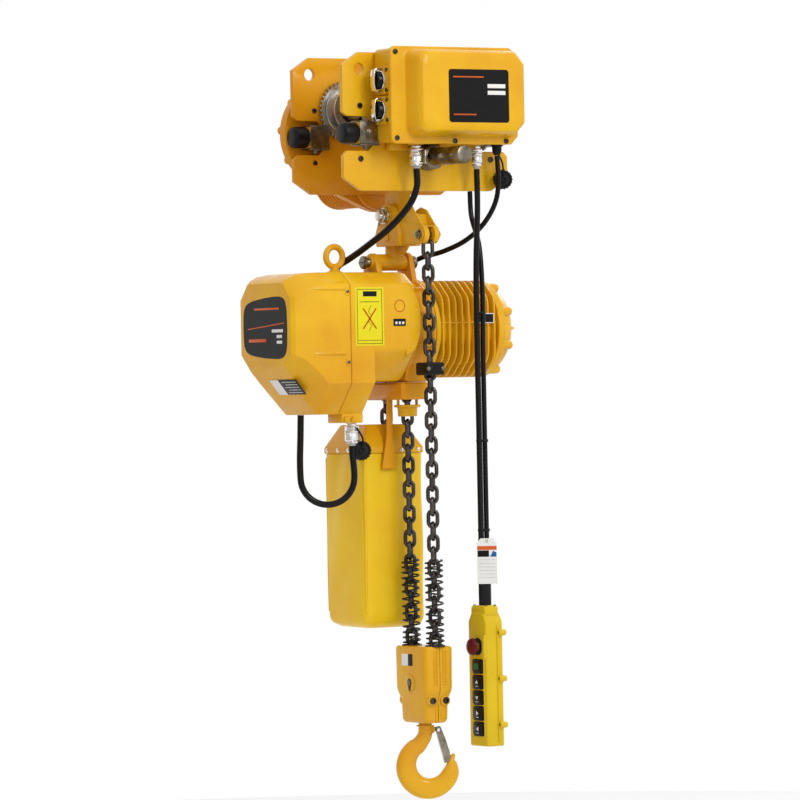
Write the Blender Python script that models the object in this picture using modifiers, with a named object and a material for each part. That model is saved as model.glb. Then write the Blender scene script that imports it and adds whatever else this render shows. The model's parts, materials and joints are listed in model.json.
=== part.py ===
"""Electric chain hoist, two falls of chain, on a motor-driven beam trolley with a pendant control.

Metres, +Z up. The origin is on the beam flange's running surface, midway between the four wheels.
+X runs along the beam, -Y is the side of the electric box, and the chain falls lie in the plane X = 0.
"""

import math

import bmesh
import bpy
from mathutils import Matrix, Vector

GAP = 0.0004

# Trolley
PLATE_IN, PLATE_OUT = 0.088, 0.098
WHEEL_X, WHEEL_R, WHEEL_Z = 0.075, 0.045, 0.045
WHEEL_IN, WHEEL_OUT, RIM_IN, RIM_R = 0.046, 0.0835, 0.0765, 0.054
AXLE_R, AXLE_BORE = 0.012, 0.0128
GEAR_MODULE, WHEEL_TEETH, PINION_TEETH, LOAD_TEETH, LAY_TEETH = 0.003, 38, 12, 40, 10
PINION_R, PINION_BORE = 0.010, 0.0115
SHAFT_Z, SHAFT_R, SHAFT_NEAR = -0.055, 0.0175, -0.24
BUMPER_R, BUMPER_Z, BUMPER_TIP = 0.021, -0.008, 0.192
NOTCH_X, BRACKET_X = 0.113, 0.158

# Electric box on the trolley
BOX_X0, BOX_X1, LID_X1 = -0.118, 0.149, 0.167
BOX_Z0, BOX_Z1 = -0.028, 0.154
BOX_BACK, BOX_SPLIT, LID_FRONT = -0.0985, -0.163, -0.217
GLAND_Y = -0.140
POWER_X, PENDANT_X, TRAVEL_X = -0.049, 0.090, 0.138
GLAND_TOP, GLAND_LOW, TRAVEL_LOW = -0.0325, -0.0785, -0.052
CONNECTOR_Z = (0.092, 0.034)

# Suspension
PIN_Y, PIN_Z = 0.010, -0.165
LOWER_PIN_Z = -0.256

# Chain lines, all at X = 0
DEAD_Y, LIVE_Y, SLACK_Y = -0.098, -0.012, 0.067
CHAIN_W, CHAIN_T = 0.026, 0.009
SHEAVE_Y = (LIVE_Y + SLACK_Y) / 2
AXIS_Z = -0.389
CHAIN_TOP = AXIS_Z - 0.057
BLOCK_Y = (DEAD_Y + LIVE_Y) / 2
BLOCK_AXLE_Z = -1.082

# Hoist body, along X
COVER_END, COVER_SEAM, CASE_STEP, CASE_END = -0.300, -0.171, -0.116, -0.0205
CASE_LOW = -0.491
HOUSING_X0, HOUSING_X1 = -0.020, 0.034
MOTOR_X0, MOTOR_X1, MOTOR_END = 0.0345, 0.182, 0.240
BODY_Y0, BODY_Y1, BODY_Z0, BODY_Z1 = -0.085, 0.135, -0.553, -0.277
MOTOR_R, FIN_R, FINS = 0.085, 0.097, 7
PIN_BORE, LUG_BORE, CHAIN_BORE = 0.0106, 0.0096, 0.0160

# Chain guide, container
GUIDE_Z0, GUIDE_Z1 = -0.527, -0.4928
STRIKER_Z0, STRIKER_Z1 = -0.560, -0.537
BAG_X0, BAG_X1, BAG_Y0, BAG_Y1 = -0.085, 0.058, 0.020, 0.172
BAG_WALL, COLLAR_SLOPE, COLLAR_BAND = 0.003, 0.024, 0.012
BAG_Z0, BAG_Z1, COLLAR_Z1 = -0.976, -0.632, -0.575
HEAP_TOP, HEAP_HALF_X, HEAP_HALF_Y = -0.900, 0.062, 0.066

# Hook block
BLOCK_Z0, BLOCK_Z1 = -1.165, -1.010
BLOCK_HALF_X, BLOCK_HALF_Y = 0.036, 0.0635
SPRING_TOP, SPRING_R, SPRING_IN = -0.840, 0.0185, 0.0148
BOWL_U, BOWL_Z, BOWL_R = 0.006, -1.248, 0.047
HOOK_YAW = math.radians(-24)
LATCH_PIVOT, LATCH_TIP = (0.0250, -1.1755), (0.0415, -1.2400)

# Pendant control, its buttons facing -X
PEND_X0, PEND_X1, PEND_Y0, PEND_Y1 = 0.071, 0.111, -0.1825, -0.0975
PEND_Z0, PEND_Z1, PEND_NECK = -1.207, -0.945, -0.932
BUTTON_Z, BUTTON_STEP, BUTTON_NAMES = -1.051, 0.0305, ("start", "up", "down", "left", "right")
STOP_Z = -1.012
POCKET = 0.011
HINGE_Z = (-0.985, -1.075, -1.165)

X, Y, Z = Vector((1, 0, 0)), Vector((0, 1, 0)), Vector((0, 0, 1))

YELLOW, ORANGE = (0.95, 0.50, 0.02), (0.90, 0.36, 0.02)
BLACK, STEEL, CHROME = (0.02, 0.02, 0.02), (0.42, 0.40, 0.36), (0.75, 0.75, 0.75)


def clear_scene():
    for obj in list(bpy.data.objects):
        bpy.data.objects.remove(obj)
    found = bpy.data.collections.new("chain_hoist")
    bpy.context.scene.collection.children.link(found)
    return found


PARTS = clear_scene()


def material(name, color, roughness=0.5, metallic=0.0):
    found = bpy.data.materials.get(name)
    if found:
        return found
    made = bpy.data.materials.new(name)
    made.use_nodes = True
    shader = made.node_tree.nodes["Principled BSDF"]
    shader.inputs["Base Color"].default_value = (*color, 1)
    shader.inputs["Roughness"].default_value = roughness
    shader.inputs["Metallic"].default_value = metallic
    return made


PAINT = material("yellow_paint", YELLOW, 0.35)
CAST = material("orange_paint", ORANGE, 0.4)
RUBBER = material("black_rubber", BLACK, 0.6)
ZINC = material("zinc_plate", CHROME, 0.3, 1.0)
IRON = material("bare_steel", STEEL, 0.4, 1.0)
PENDANT = material("pendant_yellow", (0.95, 0.75, 0.02), 0.45)
RED = material("stop_red", (0.55, 0.02, 0.05), 0.4)


# ---- making solids ------------------------------------------------------------------

def keep(name, mesh, finish):
    obj = bpy.data.objects.new(name, mesh)
    PARTS.objects.link(obj)
    if finish:
        mesh.materials.clear()
        mesh.materials.append(finish)
    return obj


def from_bmesh(name, bm, finish, recalculate=True):
    if recalculate:
        bmesh.ops.recalc_face_normals(bm, faces=bm.faces)
    mesh = bpy.data.meshes.new(name)
    bm.to_mesh(mesh)
    bm.free()
    obj = keep(name, mesh, finish)
    mesh.shade_smooth()
    mesh.set_sharp_from_angle(angle=math.radians(35))
    return obj


def evaluated(obj, recalculate=True):
    """The object as its modifiers leave it, baked, with loose caps welded.

    A Boolean's result keeps its normals, because those of a sealed room inside it point inwards.
    """
    bpy.context.view_layer.update()
    graph = bpy.context.evaluated_depsgraph_get()
    mesh = bpy.data.meshes.new_from_object(obj.evaluated_get(graph))
    bm = bmesh.new()
    bm.from_mesh(mesh)
    bmesh.ops.transform(bm, matrix=obj.matrix_world, verts=bm.verts)
    bmesh.ops.remove_doubles(bm, verts=bm.verts, dist=1e-6)
    name = obj.name
    finish = obj.data.materials[0] if obj.data.materials else None
    bpy.data.objects.remove(obj)
    return from_bmesh(name, bm, finish, recalculate)


def box(name, low, high, finish=None, bevel=0.0, segments=2):
    low, high = Vector(low), Vector(high)
    bm = bmesh.new()
    bmesh.ops.create_cube(bm, size=1)
    bmesh.ops.scale(bm, vec=high - low, verts=bm.verts)
    bmesh.ops.translate(bm, vec=(low + high) / 2, verts=bm.verts)
    obj = from_bmesh(name, bm, finish)
    if bevel:
        rounded = obj.modifiers.new("round", "BEVEL")
        rounded.width, rounded.segments = bevel, segments
        obj = evaluated(obj)
    return obj


def along(start, end):
    """The matrix that lays local +Z along the line from start to end, from start."""
    direction = Vector(end) - Vector(start)
    turn = direction.to_track_quat("Z", "Y").to_matrix().to_4x4()
    return Matrix.Translation(Vector(start)) @ turn, direction.length


def rod(name, start, end, radius, finish=None, sides=16):
    place, length = along(start, end)
    bm = bmesh.new()
    bmesh.ops.create_cone(bm, cap_ends=True, segments=sides, radius1=radius, radius2=radius, depth=length)
    bmesh.ops.translate(bm, vec=(0, 0, length / 2), verts=bm.verts)
    bmesh.ops.transform(bm, matrix=place, verts=bm.verts)
    return from_bmesh(name, bm, finish)


def turned(name, profile, start, direction, finish=None, sides=18, ring=False):
    """A profile of (radius, distance along direction) turned about the line through start.

    A ring's profile closes on itself.
    """
    mesh = bpy.data.meshes.new(name)
    points = [(radius, 0, height) for radius, height in profile]
    edges = [(i, i + 1) for i in range(len(points) - 1)]
    if ring:
        edges.append((len(points) - 1, 0))
    mesh.from_pydata(points, edges, [])
    obj = keep(name, mesh, finish)
    screw = obj.modifiers.new("turn", "SCREW")
    screw.steps = screw.render_steps = sides
    screw.use_merge_vertices, screw.merge_threshold = True, 1e-5
    obj.matrix_world = along(start, Vector(start) + Vector(direction))[0]
    return evaluated(obj)


def tube_ring(name, start, end, outer, inner, finish=None, sides=18):
    length = (Vector(end) - Vector(start)).length
    profile = [(outer, length), (outer, 0), (inner, 0), (inner, length)]
    return turned(name, profile, start, Vector(end) - Vector(start), finish, sides, ring=True)


def plate(name, outline, axis, low, high, finish=None):
    """A flat outline extruded along X or Y. Its points are (Y, Z) for X and (X, Z) for Y."""
    curve = bpy.data.curves.new(name, "CURVE")
    curve.dimensions, curve.fill_mode, curve.extrude = "2D", "BOTH", (high - low) / 2
    spline = curve.splines.new("POLY")
    spline.points.add(len(outline) - 1)
    for point, (u, v) in zip(spline.points, outline):
        point.co = (u, v, 0, 1)
    spline.use_cyclic_u = True
    obj = bpy.data.objects.new(name, curve)
    PARTS.objects.link(obj)
    if finish:
        curve.materials.append(finish)
    middle = (low + high) / 2
    if axis == "Y":
        obj.matrix_world = Matrix(((1, 0, 0, 0), (0, 0, -1, middle), (0, 1, 0, 0), (0, 0, 0, 1)))
    else:
        obj.matrix_world = Matrix(((0, 0, 1, middle), (1, 0, 0, 0), (0, 1, 0, 0), (0, 0, 0, 1)))
    return evaluated(obj)


def loft(name, sections, finish=None):
    """Closed solid through sections with the same number of 3-D points each."""
    bm = bmesh.new()
    rings = [[bm.verts.new(point) for point in section] for section in sections]
    for first, second in zip(rings, rings[1:]):
        for i, vert in enumerate(first):
            after = (i + 1) % len(first)
            bm.faces.new((vert, first[after], second[after], second[i]))
    bm.faces.new(rings[0])
    bm.faces.new(rings[-1])
    return from_bmesh(name, bm, finish)


def combine(obj, other, operation):
    step = obj.modifiers.new(operation.lower(), "BOOLEAN")
    step.operation, step.object = operation, other
    obj = evaluated(obj, recalculate=False)
    bpy.data.objects.remove(other)
    return obj


def cut(obj, *cutters):
    for cutter in cutters:
        obj = combine(obj, cutter, "DIFFERENCE")
    return obj


def join(obj, *others):
    for other in others:
        obj = combine(obj, other, "UNION")
    return obj


def smooth_route(points, spacing):
    """Evenly spaced points on the Catmull-Rom curve through the route's own points."""
    points = [Vector(p) for p in points]
    ends = [2 * points[0] - points[1], *points, 2 * points[-1] - points[-2]]
    fine = []
    for a, b, c, d in zip(ends, ends[1:], ends[2:], ends[3:]):
        for step in range(16):
            t = step / 16
            fine.append(0.5 * (2 * b + (c - a) * t + (2 * a - 5 * b + 4 * c - d) * t * t
                               + (3 * b - a - 3 * c + d) * t ** 3))
    fine.append(points[-1])
    travelled = [0.0]
    for a, b in zip(fine, fine[1:]):
        travelled.append(travelled[-1] + (b - a).length)
    count = max(2, round(travelled[-1] / spacing))
    even, at = [], 0
    for i in range(count + 1):
        want = travelled[-1] * i / count
        while at < len(fine) - 2 and travelled[at + 1] < want:
            at += 1
        span = travelled[at + 1] - travelled[at]
        even.append(fine[at].lerp(fine[at + 1], (want - travelled[at]) / span))
    return even


def wire(name, points, radii, finish, resolution=2):
    """A round bar along points. radii is one radius, or one for each point."""
    curve = bpy.data.curves.new(name, "CURVE")
    curve.dimensions, curve.use_fill_caps, curve.bevel_resolution = "3D", True, resolution
    curve.bevel_depth = 1.0 if hasattr(radii, "__len__") else radii
    spline = curve.splines.new("POLY")
    spline.points.add(len(points) - 1)
    for i, (point, place) in enumerate(zip(spline.points, points)):
        point.co = (*place, 1)
        point.radius = radii[i] if hasattr(radii, "__len__") else 1.0
    curve.materials.append(finish)
    obj = bpy.data.objects.new(name, curve)
    PARTS.objects.link(obj)
    return evaluated(obj)


def arc(centre, radius, first, last, steps):
    """Points on an arc between two angles in degrees, in the outline's own plane."""
    angles = [math.radians(first + (last - first) * i / steps) for i in range(steps + 1)]
    return [(centre[0] + radius * math.cos(a), centre[1] + radius * math.sin(a)) for a in angles]


def hull(points):
    """The convex outline round a set of 2-D points."""
    points = sorted(set(points))
    outline = []
    for direction in (points, points[::-1]):
        side = []
        for p in direction:
            while len(side) > 1:
                (ax, ay), (bx, by) = side[-2:]
                if (bx - ax) * (p[1] - ay) - (by - ay) * (p[0] - ax) > 1e-12:
                    break
                side.pop()
            side.append(p)
        outline += side[:-1]
    return outline


def gear_outline(teeth, centre, first_tooth):
    """A spur gear's outline, its flanks straight, with running clearance."""
    pitch_r = GEAR_MODULE * teeth / 2
    tip_r, root_r = pitch_r + 0.75 * GEAR_MODULE, pitch_r - 1.1 * GEAR_MODULE
    step = 360 / teeth
    corners = ((root_r, -0.29), (tip_r, -0.11), (tip_r, 0.11), (root_r, 0.29))
    outline = []
    for tooth in range(teeth):
        for radius, share in corners:
            angle = math.radians(first_tooth + (tooth + share) * step)
            outline.append((centre[0] + radius * math.cos(angle), centre[1] + radius * math.sin(angle)))
    return outline


# ---- trolley ------------------------------------------------------------------------

def side_plate_outline():
    half = [(0.151, 0.149), (0.189, 0.124), (0.189, 0.033), (0.180, 0.0252), (0.134, 0.0236),
            (NOTCH_X, 0.003), (NOTCH_X, -0.024), (0.132, -0.0425), (0.180, -0.0425),
            (0.189, -0.052), (0.189, -0.095), (0.150, -0.120)]
    return half + [(-x, z) for x, z in reversed(half)]


def side_plate(name, side):
    """side is -1 for the near plate and +1 for the far one. Its stub axles are welded in."""
    low, high = sorted((side * PLATE_IN, side * PLATE_OUT))
    obj = plate(name, side_plate_outline(), "Y", low, high, CAST)
    through = ((0, SHAFT_Z, SHAFT_R + 0.0006), (-0.150, 0.116, 0.012), (0.150, 0.116, 0.012))
    if side > 0:
        through += ((0, WHEEL_Z, PINION_BORE),)
    for x, z, radius in through:
        obj = cut(obj, rod("hole", (x, low - 0.01, z), (x, high + 0.01, z), radius))
    for x in (-WHEEL_X, WHEEL_X):
        root, end = side * (PLATE_IN + 0.006), side * (WHEEL_IN - 0.002)
        obj = join(obj, rod("stub", (x, root, WHEEL_Z), (x, end, WHEEL_Z), AXLE_R))
        root, end = side * (PLATE_IN + 0.004), side * (WHEEL_OUT + 0.0015)
        obj = join(obj, rod("collar", (x, root, WHEEL_Z), (x, end, WHEEL_Z), 0.020))
    middle = side * (PLATE_IN + PLATE_OUT) / 2
    for end in (-1, 1):
        web = (NOTCH_X - 0.004, BRACKET_X - 0.003, 0.0042)
        foot = (BRACKET_X - 0.007, BRACKET_X, 0.016)
        for inner, outer, half in (web, foot):
            low, high = sorted((end * inner, end * outer))
            obj = join(obj, box("bracket", (low, middle - half, -0.029), (high, middle + half, 0.013)))
    return obj


def wheel(name, x, side):
    start = (x, side * WHEEL_IN, WHEEL_Z)
    width, rim = WHEEL_OUT - WHEEL_IN, RIM_IN - WHEEL_IN
    if side < 0:
        profile = [(AXLE_BORE, width), (RIM_R, width), (RIM_R, rim), (WHEEL_R, rim - 0.001),
                   (WHEEL_R, 0), (AXLE_BORE, 0)]
        return turned(name, profile, start, (0, side, 0), IRON, 20, ring=True)
    tread = tube_ring(name, start, (x, RIM_IN + 0.002, WHEEL_Z), WHEEL_R, AXLE_BORE, IRON, 20)
    teeth = plate("teeth", gear_outline(WHEEL_TEETH, (x, WHEEL_Z), 0), "Y", RIM_IN, WHEEL_OUT)
    teeth = cut(teeth, rod("bore", (x, 0.06, WHEEL_Z), (x, 0.1, WHEEL_Z), 0.018))
    web = tube_ring("web", (x, RIM_IN - 0.004, WHEEL_Z), (x, WHEEL_OUT, WHEEL_Z), 0.030, AXLE_BORE)
    return join(tread, teeth, web)


def drive():
    """The travel drive on the far plate: pinion, reduction case and motor."""
    outline = gear_outline(PINION_TEETH, (0, WHEEL_Z), 360 / PINION_TEETH / 2)
    pinion = plate("drive_pinion", outline, "Y", RIM_IN, WHEEL_OUT, IRON)
    join(pinion, rod("shaft", (0, RIM_IN + 0.002, WHEEL_Z), (0, 0.120, WHEEL_Z), PINION_R))
    round_left = arc((-0.092, 0.0), 0.103, 0, 345, 23)
    round_low = arc((0.020, -0.085), 0.068, 0, 345, 23)
    round_top = arc((0.020, 0.040), 0.050, 0, 345, 23)
    case = plate("drive_gear_case", hull(round_left + round_low + round_top), "Y",
                 PLATE_OUT + GAP, 0.146, CAST)
    case = cut(case, rod("bore", (0, 0.09, WHEEL_Z), (0, 0.124, WHEEL_Z), PINION_BORE))
    cut(case, rod("bumper_room", (-0.3, 0.093, BUMPER_Z), (-0.150, 0.093, BUMPER_Z), BUMPER_R + 0.003),
        box("bracket_room", (-0.160, 0.090, -0.032), (-0.105, 0.1095, 0.016)))
    profile = [(0, 0.150), (0.034, 0.148), (0.050, 0.138), (0.054, 0.120), (0.058, 0.118)]
    for rib in range(5):
        height = 0.108 - rib * 0.018
        profile += [(0.058, height), (0.052, height - 0.003), (0.052, height - 0.009), (0.058, height - 0.012)]
    profile += [(0.062, 0.012), (0.062, 0), (0, 0)]
    turned("drive_motor", profile, (0.020, 0.146 + GAP, -0.085), Y, CAST, 20)


def trolley_frame():
    side_plate("near_side_plate", -1)
    side_plate("far_side_plate", 1)
    for side, near in ((-1, "near"), (1, "far")):
        for end, where in ((-1, "left"), (1, "right")):
            wheel(f"wheel_{near}_{where}", end * WHEEL_X, side)
            y = side * (PLATE_IN + PLATE_OUT) / 2
            base = (end * (BRACKET_X + GAP), y, BUMPER_Z)
            length = BUMPER_TIP - BRACKET_X - GAP
            edge = length - 0.003
            profile = [(0, length), (BUMPER_R - 0.003, length), (BUMPER_R, edge), (BUMPER_R, 0), (0, 0)]
            turned(f"bumper_{near}_{where}", profile, base, (end, 0, 0), RUBBER, 20)
    start, end = (0, SHAFT_NEAR, SHAFT_Z), (0, PLATE_OUT - 0.0005, SHAFT_Z)
    collar = rod("collar", (0, -PLATE_OUT - 0.013, SHAFT_Z), (0, -PLATE_OUT - GAP, SHAFT_Z), 0.0255)
    join(rod("suspension_shaft", start, end, SHAFT_R, ZINC, 16), collar)


def electric_box():
    base = box("box_base", (BOX_X0, BOX_SPLIT, BOX_Z0), (BOX_X1, BOX_BACK, BOX_Z1), PAINT, 0.006)
    base = cut(base, box("hollow", (BOX_X0 + 0.005, BOX_SPLIT - 0.01, BOX_Z0 + 0.005),
                         (BOX_X1 - 0.005, BOX_BACK - 0.005, BOX_Z1 - 0.005)))
    gland_top, gland_low = (TRAVEL_X, GLAND_Y, BOX_Z0 + 0.002), (TRAVEL_X, GLAND_Y, TRAVEL_LOW)
    base = join(base, rod("travel_gland", gland_top, gland_low, 0.0095))
    for z in CONNECTOR_Z:
        profile = [(0, 0.038), (0.014, 0.038), (0.0225, 0.035), (0.0225, 0.025), (0.018, 0.023), (0.018, 0.008),
                   (0.025, 0.008), (0.025, 0), (0, 0)]
        base = join(base, turned("connector", profile, (BOX_X0 + 0.002, GLAND_Y + 0.006, z), -X))
    front = BOX_SPLIT - GAP
    lid = box("box_lid", (BOX_X0 - 0.007, front - 0.010, BOX_Z0 - 0.004),
              (LID_X1, front, BOX_Z1 + 0.003), PAINT, 0.004)

    def raised(inset, depth):
        rings = []
        for y, draft in ((front - 0.004 + inset, 0), (front - depth + 0.008, 0.004), (front - depth, 0.012)):
            low_x, high_x = BOX_X0 + 0.030 + inset + draft, LID_X1 - 0.001 - inset - draft
            low_z, high_z = BOX_Z0 + 0.004 + inset + draft, BOX_Z1 - 0.002 - inset - draft
            rings.append([(low_x, y, low_z), (high_x, y, low_z), (high_x, y, high_z), (low_x, y, high_z)])
        return rings

    lid = join(lid, loft("raised", raised(0, front - LID_FRONT)))
    inner = raised(0.005, front - LID_FRONT - 0.004)
    inner[0] = [(x, front + 0.01, z) for x, _, z in inner[0]]
    cut(lid, loft("hollow", inner))
    for name, x in (("power_gland", POWER_X), ("pendant_gland", PENDANT_X)):
        profile = [(0, 0.046), (0.009, 0.046), (0.0115, 0.038), (0.0115, 0.034), (0.0155, 0.033),
                   (0.0155, 0.015), (0.0125, 0.014), (0.0125, 0), (0, 0)]
        turned(name, profile, (x, GLAND_Y, GLAND_TOP), -Z, ZINC, 20)


# ---- suspension ---------------------------------------------------------------------

def suspension():
    hanger = tube_ring("hanger", (0, -0.028, SHAFT_Z), (0, 0.048, SHAFT_Z), 0.032, SHAFT_R + 0.0006, CAST)
    lug_shape = hull([(-0.026, -0.080), (0.046, -0.080)] + arc((PIN_Y, PIN_Z), 0.022, 0, 345, 23))
    hanger = join(hanger, plate("lug", lug_shape, "X", -0.012, 0.012))
    cut(hanger, rod("bore", (-0.03, PIN_Y, PIN_Z), (0.03, PIN_Y, PIN_Z), PIN_BORE),
        rod("bore", (0, -0.1, SHAFT_Z), (0, 0.1, SHAFT_Z), SHAFT_R + 0.0006, sides=24))
    pin = [(0, 0.082), (0.007, 0.082), (0.007, 0.074), (0.016, 0.074), (0.016, 0.064), (0.010, 0.063),
           (0.010, 0.008), (0.015, 0.007), (0.015, 0), (0, 0)]
    turned("hanger_pin", pin, (0.0345, PIN_Y, PIN_Z), -X, ZINC, 20)

    shoulders = [(-0.034, -0.205), (0.056, -0.205), (-0.030, -0.225), (0.050, -0.225)]
    ear_shape = hull(arc((PIN_Y, PIN_Z), 0.024, 0, 345, 23) + shoulders)
    ears = plate("suspension_bracket", ear_shape, "X", -0.026, 0.026, CAST)
    ears = cut(ears, box("slot", (-0.0126, -0.06, -0.192), (0.0126, 0.08, -0.13)),
               rod("bore", (-0.04, PIN_Y, PIN_Z), (0.04, PIN_Y, PIN_Z), PIN_BORE))
    arm_shape = hull([(-0.020, -0.176), (-0.010, -0.222)] + arc((DEAD_Y, -0.205), 0.018, 0, 345, 23))
    arm = plate("arm", arm_shape, "X", -0.017, 0.017)
    arm = cut(arm, box("mouth", (-0.0065, DEAD_Y - 0.03, -0.24), (0.0065, DEAD_Y + 0.016, -0.190)))
    column = rod("column", (0, SHEAVE_Y, -0.215), (0, SHEAVE_Y, LOWER_PIN_Z), 0.017)
    barrel = rod("barrel", (-0.043, SHEAVE_Y, LOWER_PIN_Z), (0.022, SHEAVE_Y, LOWER_PIN_Z), 0.0165)
    bracket = join(ears, arm, column, barrel)
    cut(bracket, rod("bore", (-0.06, SHEAVE_Y, LOWER_PIN_Z), (0.06, SHEAVE_Y, LOWER_PIN_Z), LUG_BORE))
    pin = [(0, 0.124), (0.013, 0.124), (0.013, 0.116), (0.009, 0.116), (0.009, 0.006), (0.013, 0.006),
           (0.013, 0), (0, 0)]
    turned("bracket_pin", pin, (0.048, SHEAVE_Y, LOWER_PIN_Z), -X, ZINC, 20)


# ---- hoist body ---------------------------------------------------------------------

def section(x, y0, y1, z0, z1, top, bottom):
    """Eight-sided ring in the plane X = x. top and bottom are the chamfers, as (across, down)."""
    upper = [(x, y0, z1 - top[1]), (x, y0 + top[0], z1), (x, y1 - top[0], z1), (x, y1, z1 - top[1])]
    lower = [(x, y1, z0 + bottom[1]), (x, y1 - bottom[0], z0), (x, y0 + bottom[0], z0), (x, y0, z0 + bottom[1])]
    return upper + lower


def body_section(x, inset=0.0, low=BODY_Z0):
    y0, y1, z0, z1 = BODY_Y0 + inset, BODY_Y1 - inset, low + inset, BODY_Z1 - inset
    return section(x, y0, y1, z0, z1, (0.034, 0.024), (0.052, 0.060))


def control_cover():
    """The cover over the controls, drawn in towards its end, with its contactor inside."""
    seam = COVER_SEAM - GAP
    outer = [body_section(seam), body_section(-0.222),
             section(-0.250, -0.0845, 0.1345, -0.521, -0.278, (0.034, 0.025), (0.050, 0.056)),
             section(-0.275, -0.080, 0.129, -0.490, -0.283, (0.032, 0.026), (0.040, 0.044)),
             section(-0.292, -0.072, 0.119, -0.467, -0.291, (0.028, 0.026), (0.028, 0.026)),
             section(COVER_END, -0.066, 0.113, -0.454, -0.297, (0.026, 0.022), (0.024, 0.020))]
    inner = [body_section(seam + 0.01, 0.005), body_section(-0.219, 0.005),
             section(-0.245, -0.079, 0.129, -0.515, -0.284, (0.034, 0.025), (0.050, 0.056)),
             section(-0.270, -0.074, 0.123, -0.484, -0.290, (0.032, 0.026), (0.040, 0.044)),
             section(-0.290, -0.062, 0.110, -0.458, -0.303, (0.024, 0.022), (0.024, 0.020))]
    cut(loft("control_cover", outer, PAINT), loft("hollow", inner))
    box("control_contactor", (-0.232, -0.045, -0.420), (COVER_SEAM - 0.004, 0.090, -0.330), RUBBER, 0.004, 1)


def gear_case():
    case = loft("gear_case", [body_section(COVER_SEAM), body_section(CASE_STEP)], PAINT)
    narrow = [body_section(CASE_STEP - 0.02, 0.002, CASE_LOW), body_section(CASE_END, 0.002, CASE_LOW)]
    case = join(case, loft("narrow", narrow))
    room = [body_section(COVER_SEAM + 0.010, 0.008, CASE_LOW - 0.001),
            body_section(CASE_END - 0.006, 0.008, CASE_LOW - 0.001)]
    case = cut(case, loft("hollow", room),
               rod("shaft_way", (-0.05, SHEAVE_Y, AXIS_Z), (0.05, SHEAVE_Y, AXIS_Z), 0.018),
               rod("rotor_way", (-0.2, SHEAVE_Y, AXIS_Z), (-0.1, SHEAVE_Y, AXIS_Z), 0.0095))
    foot = [(SHEAVE_Y - 0.028, BODY_Z1 - 0.004), (SHEAVE_Y + 0.028, BODY_Z1 - 0.004)]
    lug_shape = hull(arc((SHEAVE_Y, LOWER_PIN_Z), 0.018, 0, 180, 12) + foot)
    case = join(case, plate("lug", lug_shape, "X", -0.056, -0.0435))
    case = cut(case, rod("pin_way", (-0.1, SHEAVE_Y, LOWER_PIN_Z), (0.0, SHEAVE_Y, LOWER_PIN_Z), LUG_BORE))
    low, high = (-0.165, -0.035, -0.5705), (-0.1165, 0.020, BODY_Z0 + 0.004)
    join(case, box("socket_bracket", low, high, None, 0.003, 1))


def sheave_housing():
    foot = [(SHEAVE_Y - 0.032, -0.305), (SHEAVE_Y + 0.032, -0.305)]
    lug_shape = hull(arc((SHEAVE_Y, LOWER_PIN_Z), 0.020, 0, 180, 12) + foot)
    start, end = (HOUSING_X0, SHEAVE_Y, AXIS_Z), (HOUSING_X1, SHEAVE_Y, AXIS_Z)
    housing = rod("sheave_housing", start, end, 0.103, CAST, 22)
    low, high = (HOUSING_X0, LIVE_Y - 0.028, GUIDE_Z1 + GAP), (HOUSING_X1, SLACK_Y + 0.028, -0.44)
    housing = join(housing, plate("lug", lug_shape, "X", 0.0225, HOUSING_X1), box("foot", low, high))
    cavity = rod("cavity", (-0.0135, SHEAVE_Y, AXIS_Z), (0.0275, SHEAVE_Y, AXIS_Z), 0.062, sides=20)
    housing = cut(housing, cavity, rod("bore", (-0.1, SHEAVE_Y, AXIS_Z), (0.1, SHEAVE_Y, AXIS_Z), 0.0185))
    for y in (LIVE_Y, SLACK_Y):
        housing = cut(housing, rod("chain_way", (0, y, AXIS_Z - 0.012), (0, y, -0.6), CHAIN_BORE))
    cut(housing, rod("pin_way", (0, SHEAVE_Y, LOWER_PIN_Z), (0.06, SHEAVE_Y, LOWER_PIN_Z), LUG_BORE))


def hoist_motor():
    """The finned housing with its stator, and the end cover with its eight bosses."""
    length = MOTOR_X1 - MOTOR_X0
    step = (length - 0.012) / FINS
    profile = [(0, length), (FIN_R - 0.004, length)]
    for fin in range(FINS):
        top = length - fin * step
        profile += [(FIN_R, top - 0.003), (FIN_R, top - 0.007)]
        profile += [(MOTOR_R, top - 0.010), (MOTOR_R, top - step + 0.001)]
    profile += [(0.100, 0.010), (0.100, 0), (0, 0)]
    motor = turned("motor_housing", profile, (MOTOR_X0, SHEAVE_Y, AXIS_Z), X, CAST, 22)
    room = rod("stator_room", (MOTOR_X0 + 0.012, SHEAVE_Y, AXIS_Z), (0.30, SHEAVE_Y, AXIS_Z), 0.072, sides=20)
    motor = cut(motor, room, rod("shaft_way", (0, SHEAVE_Y, AXIS_Z), (0.1, SHEAVE_Y, AXIS_Z), 0.0105))
    start, end = (MOTOR_X0 + 0.030, SHEAVE_Y, AXIS_Z), (MOTOR_X1 - 0.020, SHEAVE_Y, AXIS_Z)
    join(motor, tube_ring("stator", start, end, 0.076, 0.046, None, 18))

    start = MOTOR_X1 + GAP
    length = MOTOR_END - start
    profile = [(0, length), (0.040, length), (0.062, length - 0.008), (0.078, length - 0.024), (0.090, 0.022),
               (0.094, 0.018), (0.094, 0), (0, 0)]
    bell = turned("motor_end_cover", profile, (start, SHEAVE_Y, AXIS_Z), X, CAST, 22)
    for i in range(8):
        angle = math.radians(22.5 + 45 * i)
        y, z = SHEAVE_Y + 0.088 * math.cos(angle), AXIS_Z + 0.088 * math.sin(angle)
        bell = join(bell, rod("boss", (start + 0.002, y, z), (start + 0.030, y, z), 0.009, sides=10))
    hollow = [(0, 0.046), (0.036, 0.046), (0.070, 0.026), (0.080, 0.012), (0.080, -0.01), (0, -0.01)]
    cut(bell, turned("hollow", hollow, (start, SHEAVE_Y, AXIS_Z), X, sides=20))


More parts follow.
